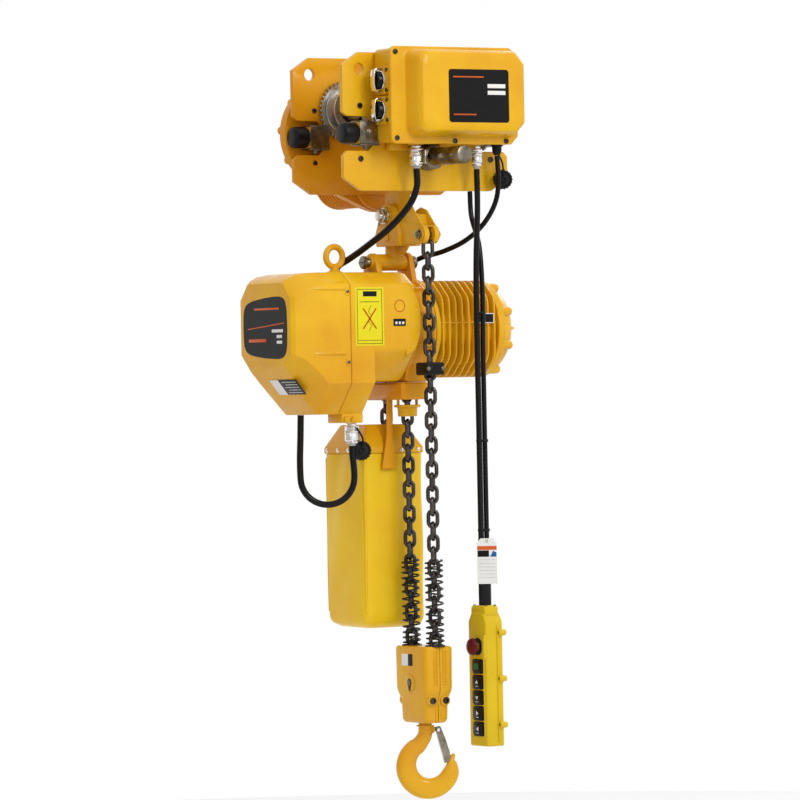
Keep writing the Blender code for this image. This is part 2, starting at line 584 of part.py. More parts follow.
def eye_bolt():
    """A lifting eye whose ring is bent round and closed at its foot."""
    ring_z, ring_r = BODY_Z1 + 0.034, 0.017
    angles = [math.radians(-80 + 340 * i / 16) for i in range(17)]
    turns = [(-0.138 + ring_r * math.cos(a), SHEAVE_Y, ring_z + ring_r * math.sin(a)) for a in angles]
    ring = wire("eye_bolt", turns, 0.0055, PAINT)
    foot, neck = (-0.138, SHEAVE_Y, BODY_Z1 + GAP), (-0.138, SHEAVE_Y, ring_z - 0.0125)
    joint = ring_z - ring_r + 0.0002
    join(ring, rod("stem", foot, neck, 0.008, sides=16),
         rod("closed_foot", (-0.142, SHEAVE_Y, joint), (-0.128, SHEAVE_Y, joint), 0.0058, sides=12))


def load_train():
    """Load sheave with its gear, the lay shaft, and the rotor whose shaft runs through the sheave."""
    profile = [(0.0105, 0.030), (0.0155, 0.030), (0.0155, 0.012), (0.052, 0.012), (0.055, 0.010),
               (0.042, 0.004), (0.033, 0.0045), (0.033, -0.0045), (0.042, -0.004), (0.055, -0.010), (0.052, -0.012),
               (0.0155, -0.012), (0.0155, -0.050), (0.0105, -0.050)]
    sheave = turned("load_sheave", profile, (0.0, SHEAVE_Y, AXIS_Z), X, IRON, 20, ring=True)
    for i in range(5):
        angle = 2 * math.pi * (i + 0.5) / 5
        y, z = SHEAVE_Y + 0.030 * math.cos(angle), AXIS_Z + 0.030 * math.sin(angle)
        sheave = join(sheave, rod("pocket_tooth", (-0.0055, y, z), (0.0055, y, z), 0.0085, sides=10))
    gear = plate("load_gear", gear_outline(LOAD_TEETH, (SHEAVE_Y, AXIS_Z), 0), "X", -0.072, -0.0480)
    sheave = join(sheave, gear)
    cut(sheave, rod("bore", (-0.1, SHEAVE_Y, AXIS_Z), (0.1, SHEAVE_Y, AXIS_Z), 0.0105, sides=20))
    lay_y = SHEAVE_Y - GEAR_MODULE * (LOAD_TEETH + LAY_TEETH) / 2
    lay_teeth = gear_outline(LAY_TEETH, (lay_y, AXIS_Z), 180 / LAY_TEETH)
    lay = plate("lay_shaft", lay_teeth, "X", -0.072, -0.0505, IRON)
    join(lay, rod("shaft", (-0.120, lay_y, AXIS_Z), (-0.0395, lay_y, AXIS_Z), 0.0085),
         rod("wheel", (-0.112, lay_y, AXIS_Z), (-0.096, lay_y, AXIS_Z), 0.024, sides=20))
    profile = [(0, 0.352), (0.009, 0.352), (0.009, 0.344), (0.056, 0.340), (0.060, 0.326), (0.009, 0.324),
               (0.009, 0.290), (0.0445, 0.288), (0.0445, 0.200), (0.009, 0.198), (0.009, 0.028), (0.028, 0.026),
               (0.028, 0.012), (0.009, 0.010), (0.009, 0), (0, 0)]
    turned("motor_rotor", profile, (-0.128, SHEAVE_Y, AXIS_Z), X, IRON, 14)


def chain_guide():
    """The guide with the container's strap, the limit striker, the clip and the loop's gland."""
    low, high = (-0.030, LIVE_Y - 0.030, GUIDE_Z0), (0.032, SLACK_Y + 0.028, GUIDE_Z1)
    guide = box("chain_guide", low, high, CAST, 0.004, 1)
    for y in (LIVE_Y, SLACK_Y):
        guide = cut(guide, rod("chain_way", (0, y, -0.4), (0, y, -0.6), CHAIN_BORE))
    strap = [(-0.046, -0.662), (-0.012, -0.662), (-0.020, -0.600), (-0.019, -0.495), (-0.029, -0.495),
             (-0.034, -0.600)]
    guide = join(guide, plate("strap", strap, "Y", 0.0120, 0.0165))
    for x in (-0.0215, 0.0215):
        guide = cut(guide, rod("pin_way", (x, LIVE_Y, -0.6), (x, LIVE_Y, -0.498), 0.0036, sides=12))

    top = (0, LIVE_Y, STRIKER_Z1)
    striker = tube_ring("limit_striker", (0, LIVE_Y, STRIKER_Z0), top, 0.0195, 0.0155, CAST)
    striker = join(striker, tube_ring("brim", (0, LIVE_Y, STRIKER_Z1 - 0.005), top, 0.0265, 0.0155))
    for x in (-0.0215, 0.0215):
        pin = rod("pin", (x, LIVE_Y, STRIKER_Z1 - 0.002), (x, LIVE_Y, -0.512), 0.0030, sides=12)
        striker = join(striker, pin)

    clip = box("chain_clip", (-0.021, DEAD_Y - 0.022, -0.480), (0.021, -0.0765, -0.455), RUBBER, 0.003, 1)
    cut(clip, rod("chain_way", (0, DEAD_Y, -0.6), (0, DEAD_Y, -0.3), CHAIN_BORE),
        rod("clear", (-0.1, SHEAVE_Y, AXIS_Z), (0.1, SHEAVE_Y, AXIS_Z), 0.1036, sides=22))
    profile = [(0, 0.044), (0.009, 0.044), (0.0115, 0.036), (0.0125, 0.034), (0.0150, 0.032), (0.0150, 0.012),
               (0.0125, 0.010), (0.0125, 0), (0, 0)]
    turned("loop_gland", profile, (-0.128, -0.010, -0.5705 - GAP), -Z, ZINC, 20)


def bag_ring(z, inset):
    x0, x1, y0, y1 = BAG_X0 + inset, BAG_X1 - inset, BAG_Y0 + inset, BAG_Y1 - inset
    return [(x0, y0, z), (x1, y0, z), (x1, y1, z), (x0, y1, z)]


def container():
    low, high = (BAG_X0, BAG_Y0, BAG_Z0), (BAG_X1, BAG_Y1, BAG_Z1 + 0.02)
    bag = box("chain_container", low, high, PAINT, 0.016)
    inside_low = tuple(v + BAG_WALL for v in low)
    inside_high = (BAG_X1 - BAG_WALL, BAG_Y1 - BAG_WALL, -0.60)
    cut(bag, box("hollow", inside_low, inside_high, None, 0.013),
        box("trim", (BAG_X0 - 0.1, BAG_Y0 - 0.1, BAG_Z1), (BAG_X1 + 0.1, BAG_Y1 + 0.1, -0.55)))

    band = BAG_Z1 + COLLAR_BAND
    outer = [bag_ring(BAG_Z1 + GAP, 0), bag_ring(band, 0), bag_ring(COLLAR_Z1, COLLAR_SLOPE)]
    rise = (COLLAR_Z1 - BAG_Z1 - 0.002) / (COLLAR_Z1 - BAG_Z1 - COLLAR_BAND)
    inner = [bag_ring(BAG_Z1 - 0.01, BAG_WALL), bag_ring(band, BAG_WALL),
             bag_ring(COLLAR_Z1 + 0.01, BAG_WALL + COLLAR_SLOPE * rise)]
    cut(loft("container_collar", outer, PAINT), loft("hollow", inner))

    middle_x, middle_y, floor = (BAG_X0 + BAG_X1) / 2, (BAG_Y0 + BAG_Y1) / 2, BAG_Z0 + 0.0040
    corners = ((-1, -1), (1, -1), (1, 1), (-1, 1))
    heap = []
    for z, share in ((floor, 0.84), (floor + 0.014, 1.0), (floor + 0.045, 1.0), (HEAP_TOP, 0.55)):
        half_x, half_y = HEAP_HALF_X * share, HEAP_HALF_Y * share
        heap.append([(middle_x + x * half_x, middle_y + y * half_y, z) for x, y in corners])
    join(loft("stored_chain", heap, IRON), chain_run("slack", SLACK_Y, CHAIN_TOP, HEAP_TOP - 0.004))


def chain_run(name, y, top, bottom):
    """One straight run of chain, as the crossed bar that its links fill."""
    w, t = CHAIN_W / 2, CHAIN_T / 2
    cross = [(w, t), (t, t), (t, w), (-t, w), (-t, t), (-w, t), (-w, -t), (-t, -t), (-t, -w), (t, -w), (t, -t),
             (w, -t)]
    turn = Matrix.Rotation(math.radians(45), 2)
    points = [turn @ Vector(point) for point in cross]
    return loft(name, [[(u, y + v, z) for u, v in points] for z in (bottom, top)], IRON)


# ---- hook block ---------------------------------------------------------------------

def block_ring(z, share, x_side):
    """Half of the block's rounded outline at height z: x_side is -1 for the left shell."""
    half_x, half_y, radius = BLOCK_HALF_X * share, BLOCK_HALF_Y * share, 0.012 * share
    near = arc((half_x - radius, radius - half_y), radius, -90, 0, 2)
    far = arc((half_x - radius, half_y - radius), radius, 0, 90, 2)
    outline = [(GAP, -half_y), *near, *far, (GAP, half_y)]
    return [(x_side * x, BLOCK_Y + y, z) for x, y in outline]


def hook_block():
    levels = ((BLOCK_Z0, 0.74), (BLOCK_Z0 + 0.009, 0.84), (-1.104, 0.84), (-1.090, 1.0),
              (BLOCK_Z1 - 0.004, 1.0), (BLOCK_Z1, 0.95))
    middle = (BLOCK_Y, BLOCK_AXLE_Z)
    for name, side in (("block_shell_left", -1), ("block_shell_right", 1)):
        shell = loft(name, [block_ring(z, share, side) for z, share in levels], CAST)
        shell = cut(shell, rod("cavity", (-0.0165, *middle), (0.0165, *middle), 0.0500, sides=20),
                    rod("axle_way", (-0.0300, *middle), (0.0325, *middle), 0.0086),
                    rod("shank_way", (0, BLOCK_Y, -1.2), (0, BLOCK_Y, -1.14), 0.0135),
                    rod("nut_room", (0, BLOCK_Y, -1.1535), (0, BLOCK_Y, -1.128), 0.0200))
        for y in (DEAD_Y, LIVE_Y):
            shell = cut(shell, rod("chain_way", (0, y, -1.06), (0, y, -0.9), 0.0148))
    join(bpy.data.objects["block_shell_left"], rod("axle", (-0.0345, *middle), (0.0320, *middle), 0.0080))
    profile = [(0.0088, 0.0155), (0.016, 0.0155), (0.016, 0.0145), (0.0455, 0.0145), (0.0475, 0.012),
               (0.038, 0.0045), (0.038, -0.0045), (0.0475, -0.012), (0.0455, -0.0145), (0.016, -0.0145),
               (0.016, -0.0155), (0.0088, -0.0155)]
    turned("block_sheave", profile, (0, *middle), X, IRON, 20, ring=True)
    for name, y in (("buffer_spring_dead", DEAD_Y), ("buffer_spring_live", LIVE_Y)):
        tube_ring(name, (0, y, BLOCK_Z1 + GAP), (0, y, SPRING_TOP), SPRING_R, SPRING_IN, IRON, 14)


def in_hook_plane(u, z, across=0.0):
    """The place at u across the hook and height z, in the turned plane that the hook lies in."""
    turn = Matrix.Translation((0, BLOCK_Y, 0)) @ Matrix.Rotation(HOOK_YAW, 4, "Z")
    return turn @ Vector((u, across, z))


def hook():
    line = [(0, -1.149), (0, -1.165), (0, -1.182), (-0.006, -1.197)]
    thick = [0.0125, 0.0125, 0.0135, 0.015]
    for i in range(21):
        angle = math.radians(125 + 12.5 * i)
        line.append((BOWL_U + BOWL_R * math.cos(angle), BOWL_Z + BOWL_R * math.sin(angle)))
        swell = 0.003 * math.sin(math.pi * i / 14) if i < 14 else -0.0015 * (i - 14)
        thick.append(0.0155 + swell)
    line.append((0.0565, -1.2235))
    thick.append(0.004)
    bar = wire("hook", [in_hook_plane(*place) for place in line], thick, CAST, 3)
    ear_start, ear_end = in_hook_plane(0.013, -1.174, -0.0045), in_hook_plane(0.013, -1.174, 0.0045)
    nut_low, nut_high = in_hook_plane(0, -1.1525), in_hook_plane(0, -1.1375)
    join(bar, rod("latch_ear", ear_start, ear_end, 0.007, sides=12),
         rod("hook_nut", nut_low, nut_high, 0.0185, sides=6))

    pivot, tip = Vector(LATCH_PIVOT), Vector(LATCH_TIP)
    run = (tip - pivot).normalized()
    across = Vector((run.y, -run.x))
    outline = [pivot + across * 0.0045, tip + across * 0.0030, tip - across * 0.0030, pivot - across * 0.0045]
    loft("latch", [[in_hook_plane(place.x, place.y, w) for place in outline] for w in (-0.009, 0.009)], ZINC)


# ---- pendant control ----------------------------------------------------------------

def pendant():
    case = box("pendant_case", (PEND_X0, PEND_Y0, PEND_Z0), (PEND_X1, PEND_Y1, PEND_Z1), PENDANT, 0.007)
    neck_low, neck_high = (PEND_X0 + 0.002, -0.171, PEND_Z1 - 0.01), (PEND_X1 - 0.004, -0.109, PEND_NECK)
    case = join(case, box("neck", neck_low, neck_high, None, 0.006))
    for z in HINGE_Z:
        start, end = (PEND_X1 - 0.010, PEND_Y0 - 0.004, z), (PEND_X1 + 0.004, PEND_Y0 - 0.004, z)
        case = join(case, rod("hinge_lug", start, end, 0.0055, sides=10))
    middle = (PEND_Y0 + PEND_Y1) / 2
    for i, name in enumerate(BUTTON_NAMES):
        z = BUTTON_Z - BUTTON_STEP * i
        case = cut(case, box("pocket", (PEND_X0 - 0.02, middle - 0.0185, z - 0.0135),
                             (PEND_X0 + POCKET, middle + 0.0185, z + 0.0135)))
        box(f"button_{name}", (PEND_X0 - 0.004, middle - 0.018, z - 0.013),
            (PEND_X0 + POCKET - 0.0045, middle + 0.018, z + 0.013), RUBBER, 0.004)
    cut(case, rod("stop_way", (PEND_X0 - 0.02, middle, STOP_Z), (PEND_X0 + POCKET, middle, STOP_Z), 0.0085))
    profile = [(0, 0.026), (0.010, 0.0255), (0.016, 0.022), (0.017, 0.018), (0.0155, 0.014), (0.008, 0.0135),
               (0.008, 0), (0, 0)]
    turned("stop_button", profile, (PEND_X0 + POCKET - 0.005, middle, STOP_Z), -X, RED, 18)


def loop_route():
    """The U of cable under the hoist, from its end in the cover down and round to its gland."""
    start, end, radius = Vector((-0.214, 0.040)), Vector((-0.128, -0.010)), 0.0525
    across = (end - start).normalized()
    bow = ((0, BODY_Z0 - GAP), (-0.0012, -0.595), (-0.0030, -0.640))
    turn = [(0.0500 - radius * math.cos(math.radians(a)), -0.677 - radius * math.sin(math.radians(a)))
            for a in range(0, 181, 20)]
    width = (end - start).length
    rise = ((0.1018, -0.655), (width, -0.632), (width, -0.6152 - GAP))
    return [(*(start + across * u), z) for u, z in (*bow, *turn, *rise)]


def cables():
    low, thick = GLAND_LOW - GAP, 0.0065
    start = (POWER_X, GLAND_Y, low)
    power = [start, (POWER_X, GLAND_Y, low - 0.035), (-0.060, -0.128, -0.150), (-0.082, -0.090, -0.192),
             (-0.101, -0.035, -0.226), (-0.109, 0.015, -0.248), (-0.112, 0.050, -0.260),
             (-0.112, 0.060, -0.267), (-0.112, 0.061, BODY_Z1 + 0.002)]
    wire("power_cable", smooth_route(power, 0.014), thick, RUBBER)
    travel = [(TRAVEL_X, GLAND_Y, TRAVEL_LOW - GAP), (TRAVEL_X + 0.002, GLAND_Y, -0.105),
              (0.138, -0.130, -0.145), (0.126, -0.105, -0.185), (0.106, -0.070, -0.216), (0.082, -0.025, -0.236),
              (0.063, 0.020, -0.246), (0.051, 0.055, -0.260), (0.0400, 0.066, -0.280), (0.0395, 0.067, -0.2925)]
    wire("travel_cable", smooth_route(travel, 0.014), 0.005, RUBBER)
    wire("loop_cable", smooth_route(loop_route(), 0.014), thick, RUBBER)

    start = Vector((PENDANT_X, GLAND_Y, low))
    end = Vector((PENDANT_X - 0.006, GLAND_Y, PEND_NECK + GAP))
    hanging = [start, start - 0.08 * Z, (end.x, end.y, -0.30), (end.x, end.y, -0.60), end]
    wire("pendant_cable", smooth_route(hanging, 0.030), 0.0058, RUBBER)
    start = Vector((0.1035, -0.093, -0.1205))
    end = Vector((PENDANT_X + 0.0070, GLAND_Y, PEND_NECK + GAP))
    strain = [start, start + Vector((0, -0.004, -0.05)), (0.1005, -0.128, -0.230), (0.0985, -0.139, -0.320),
              (end.x, end.y, -0.450), (end.x, end.y, -0.700), end]
    wire("strain_cable", smooth_route(strain, 0.030), 0.0050, RUBBER)


trolley_frame()
drive()
electric_box()
suspension()
gear_case()
control_cover()
sheave_housing()
hoist_motor()
eye_bolt()
load_train()
chain_guide()
container()
chain_run("live_chain", LIVE_Y, CHAIN_TOP, -1.030)
chain_run("dead_chain", DEAD_Y, -0.2245, -1.030)
hook_block()
hook()
pendant()
cables()
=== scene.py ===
"""Looks of the electric chain hoist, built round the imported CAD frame.

Metres, +Z up, in the frame's own axes: +X along the beam, -Y the side of the electric box.
"""

import json
import math
import random

import bmesh
import bpy
from mathutils import Matrix, Quaternion, Vector


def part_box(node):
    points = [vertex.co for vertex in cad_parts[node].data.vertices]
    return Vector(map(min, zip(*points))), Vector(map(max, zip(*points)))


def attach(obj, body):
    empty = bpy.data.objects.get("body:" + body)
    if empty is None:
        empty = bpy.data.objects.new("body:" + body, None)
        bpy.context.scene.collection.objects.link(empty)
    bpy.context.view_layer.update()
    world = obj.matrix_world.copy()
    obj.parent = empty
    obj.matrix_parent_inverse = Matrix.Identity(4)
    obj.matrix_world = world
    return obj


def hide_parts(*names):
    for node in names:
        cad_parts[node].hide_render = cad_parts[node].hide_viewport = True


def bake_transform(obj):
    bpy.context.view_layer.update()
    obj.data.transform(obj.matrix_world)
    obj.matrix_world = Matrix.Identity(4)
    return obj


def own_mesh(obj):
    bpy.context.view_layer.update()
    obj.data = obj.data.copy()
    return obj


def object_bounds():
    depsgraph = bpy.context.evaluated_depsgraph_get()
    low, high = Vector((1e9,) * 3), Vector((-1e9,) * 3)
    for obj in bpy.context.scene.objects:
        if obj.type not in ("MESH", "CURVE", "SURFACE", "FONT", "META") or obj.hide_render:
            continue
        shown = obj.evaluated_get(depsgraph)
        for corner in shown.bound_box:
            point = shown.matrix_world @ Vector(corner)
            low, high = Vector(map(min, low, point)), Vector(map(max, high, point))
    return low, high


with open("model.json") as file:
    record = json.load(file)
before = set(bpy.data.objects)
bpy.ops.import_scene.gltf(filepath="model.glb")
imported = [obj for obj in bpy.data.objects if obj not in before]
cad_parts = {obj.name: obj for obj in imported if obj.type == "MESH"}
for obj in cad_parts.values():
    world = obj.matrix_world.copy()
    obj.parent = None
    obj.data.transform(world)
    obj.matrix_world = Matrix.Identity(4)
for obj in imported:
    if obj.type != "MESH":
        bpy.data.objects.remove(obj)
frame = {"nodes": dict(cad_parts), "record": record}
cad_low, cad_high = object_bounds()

X, Y, Z = Vector((1, 0, 0)), Vector((0, 1, 0)), Vector((0, 0, 1))
nodes = frame["nodes"]

# Places that the CAD fixes
DEAD_Y, LIVE_Y, SLACK_Y = -0.098, -0.012, 0.067
SHEAVE_Y, AXIS_Z = 0.0275, -0.389
BLOCK_Y, BLOCK_AXLE_Z = -0.055, -1.082
PIN_Y, PIN_Z, LOWER_PIN_Z, DEAD_END_Z = 0.01, -0.165, -0.256, -0.205
GLAND_Y, POWER_X, PENDANT_X, TRAVEL_X = -0.14, -0.049, 0.09, 0.138
GAP = 0.0004
GLAND_END = -0.0785 - GAP
BODY_Z0, BODY_Z1 = -0.553, -0.277


# ---- camera, lights, floor ------------------------------------------------------------

def camera_and_lights():
    azimuth, distance, view_width, roll = math.radians(32), 11.0, 1.575, math.radians(-1.1)
    look = Vector((math.sin(azimuth), math.cos(azimuth), 0))
    right = Vector((math.cos(azimuth), -math.sin(azimuth), 0))
    target = right * -0.008 + Z * -0.5275
    camera = bpy.data.objects.new("camera", bpy.data.cameras.new("camera"))
    bpy.context.scene.collection.objects.link(camera)
    camera.rotation_mode = "QUATERNION"
    camera.location = target - look * distance
    camera.rotation_quaternion = look.to_track_quat("-Z", "Y") @ Quaternion(Z, roll)
    camera.data.lens = 36 * distance / view_width
    camera.data.clip_end = 100
    bpy.context.scene.camera = camera

    world = bpy.data.worlds.new("studio")
    world.use_nodes = True
    tree = world.node_tree
    sky = tree.nodes["Background"]
    where = tree.nodes.new("ShaderNodeTexCoord")
    parts = tree.nodes.new("ShaderNodeSeparateXYZ")
    tree.links.new(where.outputs["Generated"], parts.inputs["Vector"])
    level = remap(tree, parts.outputs["Z"], -0.5, -0.1, 0.0, 1.0)
    shade = remap(tree, parts.outputs["X"], -0.95, -0.35, 0.0, 1.0)
    left = blend_colors(tree, shade, (0.52, 0.47, 0.42), (1.0, 1.0, 1.0))
    tree.links.new(blend_colors(tree, level, (0.3, 0.24, 0.19), left), sky.inputs["Color"])
    sky.inputs["Strength"].default_value = 1.0
    bpy.context.scene.world = world
    bpy.context.scene.view_settings.view_transform = "Standard"

    def softbox(name, offset, width, height, power):
        light = bpy.data.objects.new(name, bpy.data.lights.new(name, "AREA"))
        light.data.shape, light.data.size, light.data.size_y = "RECTANGLE", width, height
        light.data.energy = power
        light.location = target + right * offset[0] - look * offset[1] + Z * offset[2]
        light.rotation_mode = "QUATERNION"
        light.rotation_quaternion = (target - light.location).to_track_quat("-Z", "Y")
        bpy.context.scene.collection.objects.link(light)

    softbox("key", (1.6, 2.3, 1.8), 0.6, 1.4, 33)
    softbox("fill", (-1.2, 2.4, 1.9), 0.5, 1.2, 6)
    softbox("rim", (1.2, -2.2, 1.6), 1.2, 1.2, 14)

    floor = bmesh.new()
    bmesh.ops.create_circle(floor, cap_ends=True, segments=96, radius=2.4)
    bmesh.ops.translate(floor, vec=(0, 0, cad_low.z - 0.16), verts=floor.verts)
    mesh = bpy.data.meshes.new("floor")
    floor.to_mesh(mesh)
    mesh.materials.append(plain_floor())
    stand = bpy.data.objects.new("floor", mesh)
    bpy.context.scene.collection.objects.link(stand)


# ---- materials ------------------------------------------------------------------------

def new_material(name, color, rough, metallic=0.0):
    made = bpy.data.materials.new(name)
    made.use_nodes = True
    shader = made.node_tree.nodes["Principled BSDF"]
    shader.inputs["Base Color"].default_value = (*color, 1)
    shader.inputs["Roughness"].default_value = rough
    shader.inputs["Metallic"].default_value = metallic
    return made, shader, made.node_tree


def noise(tree, scale, detail=3.0, stretch=(1, 1, 1)):
    where = tree.nodes.new("ShaderNodeTexCoord")
    place = tree.nodes.new("ShaderNodeMapping")
    place.inputs["Scale"].default_value = stretch
    grain = tree.nodes.new("ShaderNodeTexNoise")
    grain.inputs["Scale"].default_value = scale
    grain.inputs["Detail"].default_value = detail
    tree.links.new(where.outputs["Object"], place.inputs["Vector"])
    tree.links.new(place.outputs["Vector"], grain.inputs["Vector"])
    return grain.outputs["Fac"]


def remap(tree, value, low, high, to_low, to_high):
    node = tree.nodes.new("ShaderNodeMapRange")
    for name, number in (("From Min", low), ("From Max", high), ("To Min", to_low), ("To Max", to_high)):
        node.inputs[name].default_value = number
    tree.links.new(value, node.inputs["Value"])
    return node.outputs["Result"]


def blend_colors(tree, share, first, second):
    """A mix of two colours, each a tuple or a socket, by a value socket."""
    node = tree.nodes.new("ShaderNodeMix")
    node.data_type = "RGBA"
    tree.links.new(share, node.inputs["Factor"])
    for socket, given in ((node.inputs["A"], first), (node.inputs["B"], second)):
        if isinstance(given, tuple):
            socket.default_value = (*given, 1)
        else:
            tree.links.new(given, socket)
    return node.outputs["Result"]


def bump(tree, shader, height, strength, distance, start=None):
    node = tree.nodes.new("ShaderNodeBump")
    node.inputs["Strength"].default_value = strength
    node.inputs["Distance"].default_value = distance
    tree.links.new(height, node.inputs["Height"])
    if start:
        tree.links.new(start, node.inputs["Normal"])
    tree.links.new(node.outputs["Normal"], shader.inputs["Normal"])
    return node.outputs["Normal"]


def edge_share(tree, radius):
    """How close to an edge a point lies, from a normal rounded over that radius."""
    soft = tree.nodes.new("ShaderNodeBevel")
    soft.samples = 4
    soft.inputs["Radius"].default_value = radius
    place = tree.nodes.new("ShaderNodeNewGeometry")
    dot = tree.nodes.new("ShaderNodeVectorMath")
    dot.operation = "DOT_PRODUCT"
    tree.links.new(soft.outputs["Normal"], dot.inputs[0])
    tree.links.new(place.outputs["Normal"], dot.inputs[1])
    return remap(tree, dot.outputs["Value"], 1.0, 0.8, 0.0, 1.0), soft.outputs["Normal"]


def paint(name, color, deep, rough=0.3, peel=0.1, grain=190, coat=0.12):
    """Enamel: slow drifts of colour, orange peel, and painted shade: the colour darkens towards deep along
    the edges and in creases.
    """
    made, shader, tree = new_material(name, color, rough)
    drift = remap(tree, noise(tree, 7, 4), 0.3, 0.75, 0.0, 1.0)
    body = blend_colors(tree, drift, color, tuple(c * 0.4 + d * 0.6 for c, d in zip(color, deep)))
    edge, rounded = edge_share(tree, 0.0016)
    # painted shade: the edge mask, broken up by noise, blends the paint towards the darker deep colour along
    # edges and in creases
    edge_shade = tree.nodes.new("ShaderNodeMath")
    edge_shade.operation = "MULTIPLY"
    tree.links.new(edge, edge_shade.inputs[0])
    tree.links.new(remap(tree, noise(tree, 55, 5), 0.4, 0.7, 0.1, 0.75), edge_shade.inputs[1])
    tree.links.new(blend_colors(tree, edge_shade.outputs[0], body, deep), shader.inputs["Base Color"])
    tree.links.new(remap(tree, noise(tree, 24, 5), 0.3, 0.7, rough - 0.05, rough + 0.1),
                   shader.inputs["Roughness"])
    shader.inputs["Coat Weight"].default_value = coat
    shader.inputs["Coat Roughness"].default_value = 0.1
    shader.inputs["Specular IOR Level"].default_value = 0.22
    bump(tree, shader, noise(tree, grain, 2), peel, 0.0012, rounded)
    return made


def metal(name, color, dark, rough, grain=90, stretch=(1, 1, 1), depth=0.12):
    """Bare or plated metal with patchy tone, uneven gloss and fine tool marks."""
    made, shader, tree = new_material(name, color, rough, 1.0)
    patches = remap(tree, noise(tree, 38, 6), 0.35, 0.7, 0.0, 1.0)
    tree.links.new(blend_colors(tree, patches, color, dark), shader.inputs["Base Color"])
    tree.links.new(remap(tree, noise(tree, 60, 4), 0.3, 0.7, rough - 0.07, rough + 0.12),
                   shader.inputs["Roughness"])
    bump(tree, shader, noise(tree, grain, 5, stretch), depth, 0.0006)
    return made


def moulded(name, color, rough, grain=420, depth=0.12, shade=0.75):
    """Moulded plastic or rubber with a fine matt texture."""
    made, shader, tree = new_material(name, color, rough)
    shader.inputs["Specular IOR Level"].default_value = 0.2
    patches = remap(tree, noise(tree, 16, 4), 0.3, 0.7, 0.0, 1.0)
    tree.links.new(blend_colors(tree, patches, color, tuple(c * shade for c in color)),
                   shader.inputs["Base Color"])
    tree.links.new(remap(tree, noise(tree, 50, 4), 0.3, 0.7, rough - 0.06, rough + 0.08),
                   shader.inputs["Roughness"])
    bump(tree, shader, noise(tree, grain, 3), depth, 0.0005)
    return made


def plain_floor():
    made, shader, tree = new_material("floor_matt", (0.85, 0.85, 0.86), 0.8)
    tone = remap(tree, noise(tree, 2.5, 3), 0.3, 0.7, 0.0, 1.0)
    tree.links.new(blend_colors(tree, tone, (0.86, 0.86, 0.87), (0.82, 0.82, 0.83)),
                   shader.inputs["Base Color"])
    return made


YELLOW = paint("amber_enamel", (0.76, 0.44, 0.008), (0.6, 0.215, 0.004), 0.26)
ORANGE = paint("cast_enamel", (0.76, 0.355, 0.006), (0.55, 0.16, 0.003), 0.32, 0.22, 130)
BAG = paint("container_plastic", (0.84, 0.56, 0.012), (0.7, 0.33, 0.005), 0.34, 0.16, 60, 0.1)
PENDANT = moulded("pendant_plastic", (0.68, 0.47, 0.01), 0.4, 300, 0.1, 0.9)
RUBBER = moulded("bumper_rubber", (0.005, 0.005, 0.006), 0.36)
SHEATH = moulded("cable_rubber", (0.004, 0.004, 0.005), 0.22, 240, 0.1)
KEY = moulded("button_plastic", (0.004, 0.004, 0.005), 0.2, 500, 0.06)
RED = moulded("stop_plastic", (0.12, 0.003, 0.01), 0.3, 300, 0.08)
GREEN = moulded("start_plastic", (0.01, 0.16, 0.045), 0.3, 300, 0.06)
MARK = moulded("white_mark", (0.78, 0.78, 0.76), 0.4, 300, 0.05, 0.92)
INK = moulded("plate_black", (0.003, 0.0025, 0.0025), 0.3, 260, 0.03)
ACCENT = moulded("plate_orange", (0.7, 0.12, 0.02), 0.35, 260, 0.05)
STICKER = moulded("sticker_yellow", (0.76, 0.66, 0.012), 0.34, 200, 0.04, 0.95)
CROSS = moulded("sticker_red", (0.55, 0.05, 0.01), 0.35, 200, 0.04)
SLEEVE = moulded("clear_sleeve", (0.42, 0.43, 0.42), 0.18, 200, 0.04)
BLUE = moulded("tag_blue", (0.02, 0.12, 0.36), 0.35, 200, 0.04)
ZINC = metal("zinc_plate", (0.74, 0.72, 0.66), (0.52, 0.49, 0.4), 0.2)
CHROME = metal("bright_chrome", (0.86, 0.86, 0.87), (0.7, 0.7, 0.71), 0.1, 140, depth=0.05)
DULL = metal("aged_zinc", (0.33, 0.29, 0.22), (0.1, 0.088, 0.066), 0.26, 60, depth=0.2)
IRON = metal("machined_steel", (0.5, 0.49, 0.47), (0.34, 0.33, 0.31), 0.3, 150, (1, 6, 1))
CHAIN = metal("chain_steel", (0.105, 0.098, 0.094), (0.038, 0.035, 0.034), 0.24, 160, depth=0.15)
SPRING = metal("spring_steel", (0.05, 0.048, 0.046), (0.026, 0.025, 0.024), 0.34, 160)
SCREW = metal("black_screw", (0.09, 0.08, 0.075), (0.04, 0.035, 0.03), 0.25, 160)

SLOT_LOOKS = {
    "orange_paint": ORANGE, "yellow_paint": YELLOW, "black_rubber": RUBBER, "cable_sheath": SHEATH,
    "button_black": KEY, "zinc_plate": ZINC, "wheel_steel": IRON, "chain_steel": CHAIN,
    "pendant_yellow": PENDANT, "stop_red": RED, "container_plastic": BAG,
}


# ---- shapes ---------------------------------------------------------------------------

def along(start, direction):
    """The matrix that lays local +Z along a direction, from start."""
    turn = Vector(direction).to_track_quat("Z", "Y").to_matrix().to_4x4()
    return Matrix.Translation(Vector(start)) @ turn


def block(low, high, rounding=0.0, segments=3):
    low, high = Vector(low), Vector(high)
    bm = bmesh.new()
    bmesh.ops.create_cube(bm, size=1)
    bmesh.ops.scale(bm, vec=high - low, verts=bm.verts)
    bmesh.ops.translate(bm, vec=(low + high) / 2, verts=bm.verts)
    return soften(bm, rounding, segments)


def soften(bm, width, segments=3, angle=20):
    """Rounds every edge sharper than angle."""
    if width:
        sharp = [e for e in bm.edges if len(e.link_faces) == 2 and e.calc_face_angle(0) > math.radians(angle)]
        bmesh.ops.bevel(bm, geom=sharp, offset=width, segments=segments, affect="EDGES", profile=0.5,
                        clamp_overlap=True)
    return bm


